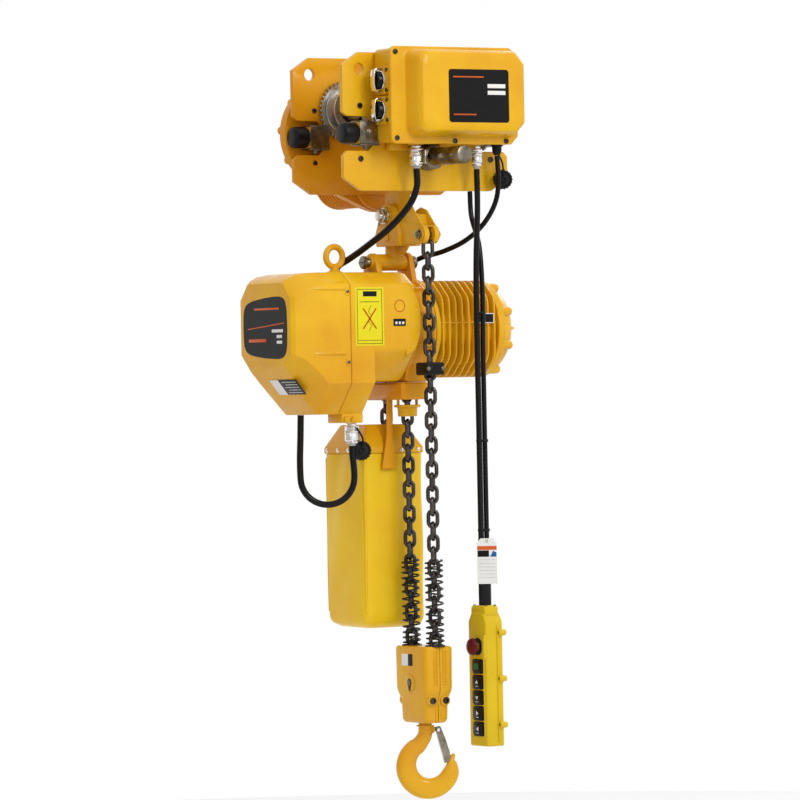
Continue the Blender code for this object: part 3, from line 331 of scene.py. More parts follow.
def loft(sections, rounding=0.0, segments=3, caps=True):
    bm = bmesh.new()
    rings = [[bm.verts.new(point) for point in section] for section in sections]
    for first, second in zip(rings, rings[1:]):
        for i, vert in enumerate(first):
            after = (i + 1) % len(first)
            bm.faces.new((vert, first[after], second[after], second[i]))
    if caps:
        bm.faces.new(rings[0])
        bm.faces.new(rings[-1])
    bmesh.ops.recalc_face_normals(bm, faces=bm.faces)
    return soften(bm, rounding, segments)


def prism(outline, axis, low, high, rounding=0.0, segments=2):
    """An outline of (Y, Z) points run along X, of (X, Z) along Y, or of (X, Y) along Z."""
    lay = {"X": lambda u, v, w: (w, u, v),
           "Y": lambda u, v, w: (u, w, v),
           "Z": lambda u, v, w: (u, v, w)}[axis]
    return loft([[lay(u, v, w) for u, v in outline] for w in (low, high)], rounding, segments)


def turned(profile, start, direction, sides=40):
    """A profile of (radius, distance along direction) turned about the line through start."""
    bm = bmesh.new()
    verts = [bm.verts.new((radius, 0, height)) for radius, height in profile]
    edges = [bm.edges.new(pair) for pair in zip(verts, verts[1:])]
    bmesh.ops.spin(bm, geom=verts + edges, axis=Z, cent=(0, 0, 0), angle=2 * math.pi, steps=sides,
                   use_merge=True)
    bmesh.ops.remove_doubles(bm, verts=bm.verts, dist=1e-6)
    bmesh.ops.recalc_face_normals(bm, faces=bm.faces)
    bmesh.ops.transform(bm, matrix=along(start, direction), verts=bm.verts)
    return bm


def rod(start, end, radius, sides=32, rounding=0.0):
    start, end = Vector(start), Vector(end)
    length = (end - start).length
    e = rounding
    profile = [(0, length), (radius - e, length), (radius - 0.3 * e, length - 0.3 * e), (radius, length - e),
               (radius, e), (radius - 0.3 * e, 0.3 * e), (radius - e, 0), (0, 0)]
    if not e:
        profile = [(0, length), (radius, length), (radius, 0), (0, 0)]
    return turned(profile, start, end - start, sides)


def hex_nut(start, direction, across, height, washer=0.0):
    """A chamfered hexagon, with its thread's end, on a washer."""
    radius = across / math.sqrt(3)
    outline = [(radius * math.cos(math.pi * i / 3), radius * math.sin(math.pi * i / 3)) for i in range(6)]
    bm = prism(outline, "Z", washer * 0.12, height, across * 0.06, 2)
    join(bm, rod((0, 0, height - 0.001), (0, 0, height + across * 0.16), across * 0.27, 20, 0.0006))
    if washer:
        join(bm, rod((0, 0, 0), (0, 0, washer * 0.12), washer / 2, 28, 0.0003))
    bmesh.ops.transform(bm, matrix=along(start, direction), verts=bm.verts)
    return bm


def cap_screw(start, direction, radius, height):
    """A round head with a hexagon socket."""
    profile = [(0, height * 0.45), (radius * 0.42, height * 0.45), (radius * 0.5, height),
               (radius * 0.8, height), (radius, height * 0.72), (radius, 0), (0, 0)]
    return turned(profile, start, direction, 20)


def tube(points, radius, sides=14, closed=False):
    """A round bar along points. radius is a number or one for each point."""
    points = [Vector(p) for p in points]
    count = len(points)
    radii = radius if hasattr(radius, "__len__") else [radius] * count
    bm = bmesh.new()
    rings, normal = [], None
    for i, point in enumerate(points):
        if closed:
            ahead = points[(i + 1) % count] - points[i - 1]
        else:
            ahead = points[min(i + 1, count - 1)] - points[max(i - 1, 0)]
        ahead.normalize()
        if normal is None:
            normal = ahead.orthogonal().normalized()
        normal = (normal - ahead * normal.dot(ahead)).normalized()
        side = ahead.cross(normal)
        turns = [2 * math.pi * k / sides for k in range(sides)]
        rings.append([bm.verts.new(point + radii[i] * (normal * math.cos(a) + side * math.sin(a)))
                      for a in turns])
    pairs = list(zip(rings, rings[1:]))
    if closed:
        pairs.append((rings[-1], rings[0]))
    for first, second in pairs:
        for k in range(sides):
            after = (k + 1) % sides
            bm.faces.new((first[k], first[after], second[after], second[k]))
    if not closed:
        bm.faces.new(rings[0])
        bm.faces.new(rings[-1])
    bmesh.ops.recalc_face_normals(bm, faces=bm.faces)
    return bm


def join(bm, *parts):
    for part in parts:
        mesh = bpy.data.meshes.new("part")
        part.to_mesh(mesh)
        part.free()
        bm.from_mesh(mesh)
        bpy.data.meshes.remove(mesh)
    return bm


def placed(bm, matrix):
    bmesh.ops.transform(bm, matrix=matrix, verts=bm.verts)
    return bm


def piece(name, parts, look, body, replaces=(), sharp=35, follow=True):
    """A finished piece made of one or more shapes, riding on a body and standing for CAD nodes."""
    bm = bmesh.new()
    join(bm, *(parts if isinstance(parts, (list, tuple)) else [parts]))
    mesh = bpy.data.meshes.new(name)
    bm.to_mesh(mesh)
    bm.free()
    mesh.shade_smooth()
    mesh.set_sharp_from_angle(angle=math.radians(sharp))
    mesh.materials.append(look)
    obj = bpy.data.objects.new(name, mesh)
    bpy.context.scene.collection.objects.link(obj)
    if follow:
        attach(obj, body)
    if replaces:
        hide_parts(*replaces)
    return obj


def arc(centre, radius, first, last, steps):
    angles = [math.radians(first + (last - first) * i / steps) for i in range(steps + 1)]
    return [(centre[0] + radius * math.cos(a), centre[1] + radius * math.sin(a)) for a in angles]


def rounded_rectangle(x0, x1, z0, z1, radius, steps=5):
    corners = ((x1 - radius, z1 - radius, 0), (x0 + radius, z1 - radius, 90),
               (x0 + radius, z0 + radius, 180), (x1 - radius, z0 + radius, 270))
    return [p for cx, cz, start in corners for p in arc((cx, cz), radius, start, start + 90, steps)]


def squarish(value, power):
    """A sine or cosine drawn out, so that a round outline becomes squarer."""
    return math.copysign(abs(value) ** power, value)


def hull(points):
    """The convex outline round a set of 2-D points."""
    points = sorted(set(points))
    outline = []
    for direction in (points, points[::-1]):
        side = []
        for p in direction:
            while len(side) > 1:
                (ax, ay), (bx, by) = side[-2:]
                if (bx - ax) * (p[1] - ay) - (by - ay) * (p[0] - ax) > 1e-12:
                    break
                side.pop()
            side.append(p)
        outline += side[:-1]
    return outline


def smooth_route(points, spacing):
    """Evenly spaced points on the Catmull-Rom curve through the route's own points."""
    points = [Vector(p) for p in points]
    ends = [2 * points[0] - points[1], *points, 2 * points[-1] - points[-2]]
    fine = []
    for a, b, c, d in zip(ends, ends[1:], ends[2:], ends[3:]):
        for step in range(16):
            t = step / 16
            fine.append(0.5 * (2 * b + (c - a) * t + (2 * a - 5 * b + 4 * c - d) * t * t
                               + (3 * b - a - 3 * c + d) * t ** 3))
    fine.append(points[-1])
    travelled = [0.0]
    for a, b in zip(fine, fine[1:]):
        travelled.append(travelled[-1] + (b - a).length)
    count = max(2, round(travelled[-1] / spacing))
    even, at = [], 0
    for i in range(count + 1):
        want = travelled[-1] * i / count
        while at < len(fine) - 2 and travelled[at + 1] < want:
            at += 1
        share = (want - travelled[at]) / (travelled[at + 1] - travelled[at])
        even.append(fine[at].lerp(fine[at + 1], share))
    return even


# ---- cords ----------------------------------------------------------------------------

def cord(name, points, radius, body=None, pair=None, replaces=()):
    """One cable along points. With pair given it rides on no body and its transform is baked into the mesh;
    the bodies named in pair are not read.
    """
    obj = piece(name, tube(points, radius, 16), SHEATH, body, replaces, follow=pair is None)
    if pair:
        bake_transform(obj)
    return obj


def loop_route():
    """The U of cable under the hoist, from its end in the cover down and round to its gland."""
    start, end, radius = Vector((-0.214, 0.04)), Vector((-0.128, -0.01)), 0.0525
    width = (end - start).length
    across = (end - start).normalized()
    bow = ((0, BODY_Z0 - GAP), (-0.0012, -0.595), (-0.003, -0.64))
    turn = [(0.05 - radius * math.cos(math.radians(a)), -0.677 - radius * math.sin(math.radians(a)))
            for a in range(0, 181, 20)]
    rise = ((0.1018, -0.655), (width, -0.632), (width, -0.6156))
    return [(*(start + across * u), z) for u, z in (*bow, *turn, *rise)]


def cords():
    low = GLAND_END
    power = smooth_route([(POWER_X, GLAND_Y, low), (POWER_X, GLAND_Y, low - 0.035), (-0.06, -0.128, -0.15),
                          (-0.082, -0.09, -0.192), (-0.101, -0.035, -0.226), (-0.109, 0.015, -0.248),
                          (-0.112, 0.05, -0.26), (-0.112, 0.06, -0.267), (-0.112, 0.061, BODY_Z1 + 0.002)],
                         0.006)
    travel = smooth_route([(TRAVEL_X, GLAND_Y, -0.0524), (TRAVEL_X + 0.002, GLAND_Y, -0.105),
                           (0.138, -0.13, -0.145), (0.126, -0.105, -0.185), (0.106, -0.07, -0.216),
                           (0.082, -0.025, -0.236), (0.063, 0.02, -0.246), (0.051, 0.055, -0.26),
                           (0.04, 0.066, -0.28), (0.0395, 0.067, -0.2925)], 0.006)
    for name, points, radius in (("power_cable", power, 0.0065), ("travel_cable", travel, 0.005)):
        half = len(points) // 2
        cord(f"{name}_upper", points[:half + 1], radius, pair=("trolley", "hanger"),
             replaces=(name,))
        cord(f"{name}_lower", points[half:], radius, pair=("hanger", "hoist"))
    cord("loop_cable_run", smooth_route(loop_route(), 0.006), 0.0065, "hoist", replaces=("loop_cable",))
    neck = PEND_NECK + GAP
    start = Vector((PENDANT_X, GLAND_Y, low))
    end = Vector((PENDANT_X - 0.006, GLAND_Y, neck))
    pendant = smooth_route([start, start - Z * 0.08, (end.x, end.y, -0.3), (end.x, end.y, -0.6), end], 0.012)
    cord("pendant_cable_run", pendant, 0.0058, "trolley", replaces=("pendant_cable",))
    start = Vector((0.1035, -0.093, -0.1205))
    end = Vector((PENDANT_X + 0.007, GLAND_Y, neck))
    strain = smooth_route([start, start + Vector((0, -0.004, -0.05)), (0.1005, -0.128, -0.23),
                           (0.0985, -0.139, -0.32), (end.x, end.y, -0.45), (end.x, end.y, -0.7), end], 0.012)
    cord("strain_cable_run", strain, 0.005, "trolley", replaces=("strain_cable",))


# ---- chain, springs, hook block -------------------------------------------------------

LINK_PITCH, LINK_WIRE, LINK_WIDTH = 0.024, 0.004, 0.026
DEAD_TOP, LIVE_TOP, SPLIT_Z, FALL_END, HEAP_TOP = -0.221, -0.5, -0.755, -1.035, -0.905


def link(centre, angle, tilt=None):
    """One link standing upright, with its plane turned by angle about Z."""
    bend = LINK_WIDTH / 2 - LINK_WIRE
    half = LINK_PITCH / 2 + LINK_WIRE - bend
    line = [(bend * math.cos(a), half + bend * math.sin(a)) for a in (math.pi * i / 8 for i in range(9))]
    line += [(bend * math.cos(a), -half + bend * math.sin(a))
             for a in (math.pi + math.pi * i / 8 for i in range(9))]
    bm = tube([(u, 0, w) for u, w in line], LINK_WIRE, 10, closed=True)
    place = Matrix.Translation(Vector(centre)) @ Matrix.Rotation(angle, 4, "Z")
    if tilt:
        place = place @ tilt
    return placed(bm, place)


def chain_between(y, top, bottom, first=0):
    """Links from top down to bottom at x = 0, each turned a quarter turn to the last."""
    count = int(round((top - bottom) / LINK_PITCH))
    return [link((0, y, top - LINK_PITCH * (i + 0.5)), math.radians(-45 + 90 * ((i + first) % 2)))
            for i in range(count)]


def chains():
    for name, y, top in (("dead", DEAD_Y, DEAD_TOP), ("live", LIVE_Y, LIVE_TOP)):
        upper = int(round((top - SPLIT_Z) / LINK_PITCH))
        piece(f"{name}_fall", chain_between(y, top, SPLIT_Z), CHAIN, "hoist",
              (f"{name}_chain",), 60)
        split = top - upper * LINK_PITCH
        lower = piece(f"{name}_fall_low", chain_between(y, split, FALL_END, upper), CHAIN, "hoist",
                      sharp=60)
        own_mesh(lower)

    heap = chain_between(SLACK_Y, LIVE_TOP, HEAP_TOP)
    draw = random.Random(7)
    for layer in range(4):
        for i in range(16):
            x = -0.0135 + (i % 4 - 1.5) * 0.029 * (1 - 0.1 * layer)
            y = 0.096 + (i // 4 - 1.5) * 0.03 * (1 - 0.1 * layer)
            tilt = Matrix.Rotation(math.pi / 2 + draw.uniform(-0.5, 0.5), 4, "X")
            heap.append(link((x, y, -0.955 + layer * 0.016 + draw.uniform(0, 0.004)), draw.uniform(0, 6.28),
                             tilt))
    piece("stored_links", heap, CHAIN, "hoist", ("stored_chain",), 60)


def buffer_springs():
    for name, y in (("buffer_spring_dead", DEAD_Y), ("buffer_spring_live", LIVE_Y)):
        low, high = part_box(name)
        wire, turns = 0.0018, 14
        mean = (high.x - low.x) / 2 - wire
        line = []
        for i in range(turns * 24 + 1):
            share = i / (turns * 24)
            eased = share - 0.035 * math.sin(2 * math.pi * share)
            angle = 2 * math.pi * turns * share
            height = low.z + wire + (high.z - low.z - 2 * wire) * eased
            line.append((mean * math.cos(angle), y + mean * math.sin(angle), height))
        piece(f"{name}_coil", tube(line, wire, 8), SPRING, "hook_block", (name,), 60)


HOOK_PLANE = Matrix.Translation((0, BLOCK_Y, 0)) @ Matrix.Rotation(math.radians(-24), 4, "Z")


def in_hook_plane(u, z, across=0.0):
    """The place of a point given in the hook's own upright plane."""
    return HOOK_PLANE @ Vector((u, across, z))


def hook():
    """Forged hook: a tube whose section swells and flattens round the bowl, with a pointed tip."""
    bowl_u, bowl_z, bowl_r = 0.006, -1.2452, 0.045
    line = [(0, -1.15), (0, -1.16), (0, -1.171), (-0.0005, -1.182), (-0.0045, -1.192)]
    angles = [118 + 8.5 * i for i in range(31)]
    line += [(bowl_u + bowl_r * math.cos(math.radians(a)), bowl_z + bowl_r * math.sin(math.radians(a)))
             for a in angles]
    line.append((0.0565, -1.2235))
    route = smooth_route([(u, 0, z) for u, z in line], 0.0035)
    rings, sides = [], 20
    total = len(route) - 1
    for i, point in enumerate(route):
        share = i / total
        ahead = (route[min(i + 1, total)] - route[max(i - 1, 0)]).normalized()
        outward = Vector((-ahead.z, 0, ahead.x))
        if share < 0.16:
            thick = deep = 0.0125 + 0.002 * share / 0.16
        else:
            swell = math.sin(math.pi * min(1, (share - 0.16) / 0.78)) ** 0.8
            deep = 0.014 + 0.007 * swell
            thick = 0.0134 - 0.0004 * swell
        if share > 0.86:
            shrink = 1 - 0.8 * ((share - 0.86) / 0.14) ** 1.3
            thick, deep = thick * shrink, deep * shrink
        ring = []
        for k in range(sides):
            a = 2 * math.pi * k / sides
            out, across = squarish(math.cos(a), 0.85), squarish(math.sin(a), 0.85)
            ring.append(point + outward * deep * out + Y * thick * across)
        rings.append(ring)
    parts = [placed(loft(rings), HOOK_PLANE)]
    eye = [in_hook_plane(0.011, -1.174, across) for across in (-0.0052, 0.0052)]
    parts.append(rod(*eye, 0.0085, 24, 0.001))
    collar = [in_hook_plane(0, height) for height in (-1.168, -1.1655)]
    parts.append(rod(*collar, 0.0175, 32, 0.0006))
    piece("forged_hook", parts, YELLOW, "hook", ("hook",), 50)


# ---- trolley --------------------------------------------------------------------------

PLATE_IN, PLATE_OUT = 0.088, 0.098
WHEEL_X, WHEEL_Z, WHEEL_IN, WHEEL_OUT = 0.075, 0.045, 0.046, 0.0835
SHAFT_Z, SHAFT_NEAR = -0.055, -0.24
BUMPER_Z, BRACKET_X = -0.008, 0.158
CORNERS = [(side, end, f"{near}_{where}") for side, near in ((-1, "near"), (1, "far"))
           for end, where in ((-1, "left"), (1, "right"))]


def refined(node, body, look, width=0.0015, segments=3):
    """A CAD solid with its edges rounded, for a piece whose shape is already right."""
    bm = bmesh.new()
    bm.from_mesh(nodes[node].data)
    bmesh.ops.remove_doubles(bm, verts=bm.verts, dist=2e-6)
    bmesh.ops.dissolve_limit(bm, angle_limit=math.radians(0.8), verts=bm.verts, edges=bm.edges)
    bmesh.ops.recalc_face_normals(bm, faces=bm.faces)
    soften(bm, width, segments, 40)
    return piece(f"{node}_finished", bm, look, body, (node,), 30)


def gear_points(teeth, module, centre):
    pitch, points = module * teeth / 2, []
    for tooth in range(teeth):
        for radius, share in ((-1.1, -0.3), (-0.4, -0.24), (0.75, -0.12), (0.75, 0.12), (-0.4, 0.24),
                              (-1.1, 0.3)):
            angle = 2 * math.pi * (tooth + share) / teeth
            reach = pitch + radius * module
            points.append((centre[0] + reach * math.cos(angle), centre[1] + reach * math.sin(angle)))
    return points


def wheels():
    front = [(0.0128, 0.0375), (0.02, 0.0375), (0.021, 0.035), (0.039, 0.033), (0.04, 0.037)]
    flange = [(0.0528, 0.0375), (0.054, 0.0363), (0.054, 0.0315), (0.0528, 0.0305)]
    back = [(0.0462, 0.029), (0.045, 0.0275), (0.0448, 0.0012), (0.0438, 0.0), (0.03, 0.0),
            (0.0285, 0.004), (0.02, 0.004), (0.0185, 0.0), (0.0128, 0.0), (0.0128, 0.0375)]
    for side, end, corner in CORNERS:
        name = f"wheel_{corner}"
        geared = side > 0
        rim = [(0.044, 0.03)] if geared else flange
        parts = [turned(front + rim + back, (end * WHEEL_X, side * WHEEL_IN, WHEEL_Z), (0, side, 0), 72)]
        if geared:
            teeth = gear_points(38, 0.003, (end * WHEEL_X, WHEEL_Z))
            parts.append(prism(teeth, "Y", 0.0765, WHEEL_OUT, 0.0003, 1))
        piece(f"{name}_turned", parts, IRON, name, (name,), 28)
        seal = turned([(0.021, 0.0), (0.027, 0.0), (0.027, 0.0012), (0.021, 0.0012), (0.021, 0.0)],
                      (end * WHEEL_X, side * (WHEEL_IN + 0.003), WHEEL_Z), (0, side, 0), 40)
        piece(f"{name}_seal", seal, RUBBER, name)


def bumpers():
    profile = [(0, 0.033), (0.015, 0.033), (0.018, 0.0322), (0.0202, 0.03), (0.021, 0.027), (0.021, 0.004),
               (0.02, 0.0015), (0.0185, 0.0), (0, 0)]
    for side, end, corner in CORNERS:
        y = side * (PLATE_IN + PLATE_OUT) / 2
        name = f"bumper_{corner}"
        start = (end * (BRACKET_X + 0.0006), y, BUMPER_Z)
        rubber = turned(profile, start, (end, 0, 0), 48)
        piece(f"{name}_rubber", rubber, RUBBER, "trolley", (name,))
        low, high = sorted((end * 0.114, end * (BRACKET_X + 0.0003)))
        parts = []
        for face in (-1, 1):
            inner, outer = sorted((y + face * 0.0163, y + face * 0.0185))
            parts.append(block((low, inner, -0.0295), (high, outer, 0.0135), 0.001))
        for bottom, top in ((0.0132, 0.0155), (-0.033, -0.03)):
            parts.append(block((low, y - 0.0185, bottom), (high, y + 0.0185, top), 0.001))
        middle = (low + high) / 2
        parts.append(hex_nut((middle, y + side * 0.0186, BUMPER_Z), (0, side, 0), 0.013, 0.0055, 0.017))
        parts.append(hex_nut((middle, y, -0.0332), (0, 0, -1), 0.011, 0.005, 0.015))
        piece(f"bumper_bracket_{corner}", parts, DULL, "trolley", (), 30)


def side_plates():
    refined("near_side_plate", "trolley", YELLOW, 0.0028, 4)
    refined("far_side_plate", "trolley", ORANGE, 0.0022, 3)
    screws = []
    for x, z in ((-0.15, 0.045), (-0.15, -0.058), (0.15, -0.058), (0.165, 0.1)):
        screws.append(cap_screw((x, -PLATE_OUT + 0.0004, z), (0, -1, 0), 0.0058, 0.003))
        screws.append(cap_screw((x * 0.94, PLATE_IN + 0.0004, z), (0, -1, 0), 0.005, 0.0026))
    piece("side_plate_screws", screws, SCREW, "trolley")
    nuts = [hex_nut((end * WHEEL_X, -PLATE_OUT + 0.0004, WHEEL_Z), (0, -1, 0), 0.016, 0.0062, 0.023)
            for end in (-1, 1)]
    piece("axle_nuts", nuts, DULL, "trolley", (), 30)


def suspension_shaft():
    end = SHAFT_NEAR
    bar = rod((0, end, SHAFT_Z), (0, PLATE_OUT - 0.0005, SHAFT_Z), 0.0175, 48, 0.0022)
    collar = rod((0, -0.111, SHAFT_Z), (0, -0.0984, SHAFT_Z), 0.0255, 48, 0.0015)
    washers = [rod((0, y, SHAFT_Z), (0, y + 0.0045, SHAFT_Z), 0.0235, 48, 0.0008)
               for y in (-0.118, -0.124, -0.13)]
    pin = rod((-0.02, end + 0.022, SHAFT_Z), (0.02, end + 0.022, SHAFT_Z), 0.0022, 16, 0.0006)
    piece("suspension_bar", [bar, collar, *washers, pin], DULL, "trolley",
          ("suspension_shaft",), 30)
    plate = [block((-0.029, -0.14, SHAFT_Z - 0.014), (-0.024, -0.098, SHAFT_Z + 0.014), 0.0012),
             hex_nut((-0.0292, -0.125, SHAFT_Z), (-1, 0, 0), 0.011, 0.005, 0.015)]
    piece("shaft_keeper", plate, ZINC, "trolley", (), 30)


def travel_drive():
    gear, drive = (-0.092, 0.0), (0.02, -0.085)
    bolts = arc(gear, 0.093, 100, 250, 4) + arc(drive, 0.058, 215, 330, 2)
    outline = hull(arc(gear, 0.103, 0, 357, 119) + arc(drive, 0.068, 0, 357, 119)
                   + arc((0.02, 0.04), 0.05, 0, 357, 119))
    inset = [(-0.045 + (x + 0.045) * 0.9, -0.015 + (z + 0.015) * 0.9) for x, z in outline]
    steps = ((outline, 0.1102), (outline, 0.13), (outline, 0.1315), (inset, 0.144), (inset, 0.146))
    case = loft([[(x, y, z) for x, z in ring] for ring, y in steps], 0.0018)
    back = hull([gear] + arc((-0.03, 0.0), 0.07, 0, 357, 60) + arc(drive, 0.066, 0, 357, 60))
    foot = prism(back, "Y", PLATE_OUT + 0.0008, 0.111, 0.001)
    bosses = [rod((x, 0.13, z), (x, 0.1445, z), 0.0085, 28, 0.0015) for x, z in bolts]
    piece("travel_gear_case", [case, foot, *bosses], ORANGE, "trolley", ("drive_gear_case",),
          28)
    heads = [cap_screw((x, 0.144, z), (0, 1, 0), 0.0055, 0.0035) for x, z in bolts]
    piece("travel_gear_case_screws", heads, SCREW, "trolley")

    profile = [(0, 0.15), (0.012, 0.15), (0.034, 0.1475), (0.046, 0.141), (0.0515, 0.13), (0.053, 0.119),
               (0.058, 0.118), (0.058, 0.1135), (0.052, 0.112)]
    for rib in range(8):
        height = 0.108 - rib * 0.0115
        profile += [(0.052, height), (0.0572, height - 0.001), (0.0572, height - 0.0035),
                    (0.052, height - 0.0045)]
    profile += [(0.052, 0.013), (0.062, 0.012), (0.062, 0.001), (0.061, 0), (0, 0)]
    motor = [turned(profile, (drive[0], 0.1464, drive[1]), Y, 56),
             block((-0.006, 0.19, -0.034), (0.046, 0.238, -0.018), 0.004)]
    piece("travel_motor", motor, ORANGE, "trolley", ("drive_motor",), 30)


# ---- electric box on the trolley ------------------------------------------------------

BOX_X0, BOX_X1, LID_X1, BOX_Z0, BOX_Z1 = -0.118, 0.149, 0.167, -0.028, 0.154
BOX_BACK, BOX_SPLIT, LID_FRONT = -0.0985, -0.163, -0.217
LID_BACK = BOX_SPLIT - 0.0004
CONNECTOR_FACE, CONNECTOR_Z = BOX_X0 - 0.0045, (0.092, 0.034)


def cut_corner_outline(x0, x1, z0, z1, radius, cut):
    """Rounded at the left corners and cut off at 45 degrees at the right ones."""
    soft = cut * 0.35
    points = []
    for z, up in ((z1, 1), (z0, -1)):
        right = [(x1, z - up * cut - up * soft * 0.5), (x1 - soft * 0.15, z - up * cut + up * soft * 0.1),
                 (x1 - cut + soft * 0.1, z - up * soft * 0.15), (x1 - cut - soft * 0.5, z)]
        turn = arc((x0 + radius, z - up * radius), radius, 90 * up, 180 * up, 6)
        points += right + turn if up > 0 else turn[::-1] + right[::-1]
    return points


def electric_box():
    rings = []
    for y, inset in ((LID_BACK, 0.0015), (LID_BACK - 0.0015, 0), (LID_BACK - 0.0085, 0),
                     (LID_BACK - 0.0102, 0.0018)):
        outline = cut_corner_outline(BOX_X0 - 0.007 + inset, LID_X1 - inset, BOX_Z0 - 0.004 + inset,
                                     BOX_Z1 + 0.003 - inset, 0.013, 0.016)
        rings.append([(x, y, z) for x, z in outline])
    flange = loft(rings)
    dome_steps = ((-0.173, 0.0, 0.0), (-0.1738, 0.0025, 0.0005), (-0.176, 0.0055, 0.001),
                  (-0.186, 0.009, 0.0022), (-0.2, 0.013, 0.004), (-0.209, 0.0165, 0.0065),
                  (-0.214, 0.021, 0.0105), (-0.2163, 0.027, 0.016), (LID_FRONT, 0.035, 0.024))
    rings = []
    for y, left, other in dome_steps:
        outline = cut_corner_outline(BOX_X0 + 0.02 + left, LID_X1 - 0.0012 - other, BOX_Z0 + 0.01 + other,
                                     BOX_Z1 - 0.001 - other, 0.02, 0.02)
        rings.append([(x, y, z) for x, z in outline])
    piece("electric_box_lid", [flange, loft(rings)], YELLOW, "trolley", ("box_lid",), 24)
    spots = ((BOX_X0 + 0.004, BOX_Z1 - 0.008), (BOX_X0 + 0.005, BOX_Z0 + 0.007), (0.138, BOX_Z0 + 0.0025),
             (0.02, BOX_Z0 + 0.002))
    heads = [cap_screw((x, LID_BACK - 0.01, z), (0, -1, 0), 0.0052, 0.0026) for x, z in spots]
    piece("lid_screws", heads, SCREW, "trolley")

    body = block((BOX_X0, LID_BACK + 0.0016, BOX_Z0), (BOX_X1, BOX_BACK, BOX_Z1), 0.0085, 4)
    seal = block((BOX_X0 + 0.002, LID_BACK + 0.0002, BOX_Z0 + 0.002),
                 (BOX_X1 - 0.002, LID_BACK + 0.003, BOX_Z1 - 0.002))
    feet = [block((x - 0.022, -0.118, BOX_Z0 - 0.014), (x + 0.022, BOX_BACK, BOX_Z0 + 0.004), 0.003)
            for x in (-0.072, 0.04)]
    collars = [rod((x, GLAND_Y, BOX_Z0 - 0.0042), (x, GLAND_Y, BOX_Z0 + 0.003), 0.0165, 36, 0.0015)
               for x in (POWER_X, PENDANT_X)]
    plates = [block((CONNECTOR_FACE, GLAND_Y - 0.021, z - 0.0265),
                    (BOX_X0 + 0.001, GLAND_Y + 0.0335, z + 0.0265), 0.0022) for z in CONNECTOR_Z]
    piece("electric_box_body", [body, *feet, *collars, *plates], YELLOW, "trolley",
          ("box_base",), 30)
    piece("electric_box_seal", seal, RUBBER, "trolley")

    gland = [rod((TRAVEL_X, GLAND_Y, BOX_Z0 + 0.002), (TRAVEL_X, GLAND_Y, -0.0345), 0.012, 36, 0.001),
             turned([(0, 0.017), (0.0056, 0.017), (0.0084, 0.012), (0.0095, 0.007), (0.0095, 0), (0, 0)],
                    (TRAVEL_X, GLAND_Y, -0.0345), -Z, 32)]
    piece("travel_gland", gland, RUBBER, "trolley")

    barrels, rings, straps, heads, lobes = [], [], [], [], []
    face, y = CONNECTOR_FACE, GLAND_Y + 0.006
    for z in CONNECTOR_Z:
        lobe = rounded_rectangle(y - 0.0285, y + 0.0285, z - 0.028, z + 0.028, 0.019, 7)
        lobes.append(prism(lobe, "X", face - 0.0012, face + 0.0045, 0.001))
        barrels.append(turned([(0, 0.014), (0.013, 0.014), (0.014, 0.0155), (0.0168, 0.0155), (0.0178, 0.014),
                               (0.0178, 0), (0, 0)], (face, y, z), -X, 44))
        rings.append(turned([(0.0178, 0.006), (0.0196, 0.006), (0.0202, 0.005), (0.0202, 0.002),
                             (0.0196, 0.001), (0.0178, 0.001), (0.0178, 0.006)], (face, y, z), -X, 44))
        bow = [(0, -0.0245), (0.012, -0.0243), (0.018, -0.0205), (0.02, -0.01), (0.0206, 0),
               (0.02, 0.01), (0.018, 0.0205), (0.012, 0.0243), (0, 0.0245)]
        outer = [(face - u, z + w) for u, w in bow]
        inner = [(face - u * 0.93, z + w * 0.91) for u, w in reversed(bow)]
        straps.append(prism(outer + inner, "Y", y - 0.0075, y + 0.0075, 0.0006))
        for up in (-0.0195, 0.0195):
            for across in (-0.015, 0.0275):
                heads.append(cap_screw((face + 0.0003, GLAND_Y + across, z + up), (-1, 0, 0), 0.0042, 0.0028))
    piece("side_connector_plates", lobes, YELLOW, "trolley", (), 30)
    piece("side_connector_sockets", barrels, KEY, "trolley")
    piece("side_connector_rings", rings + straps, CHROME, "trolley", (), 30)
    piece("side_connector_screws", heads, SCREW, "trolley")

    x0, x1, z0, z1 = -0.02, 0.118, 0.008, 0.111
    plate = prism(rounded_rectangle(x0, x1, z0, z1, 0.006), "Y", LID_FRONT - 0.00045, LID_FRONT + 0.0004)
    piece("box_name_plate", plate, INK, "trolley")
    front = LID_FRONT - 0.00075
    white = [block((x1 - 0.049, front, z), (x1 - 0.008, front + 0.0006, z + 0.0078), 0.0001)
             for z in (0.075, 0.062)]
    piece("box_plate_fields", white, MARK, "trolley")
    bars = [block((x0 + 0.01, front, 0.095), (x0 + 0.08, front + 0.0006, 0.0975), 0.0001),
            block((x0 + 0.01, front, 0.022), (x0 + 0.062, front + 0.0006, 0.0245), 0.0001)]
    piece("box_plate_bars", bars, ACCENT, "trolley")


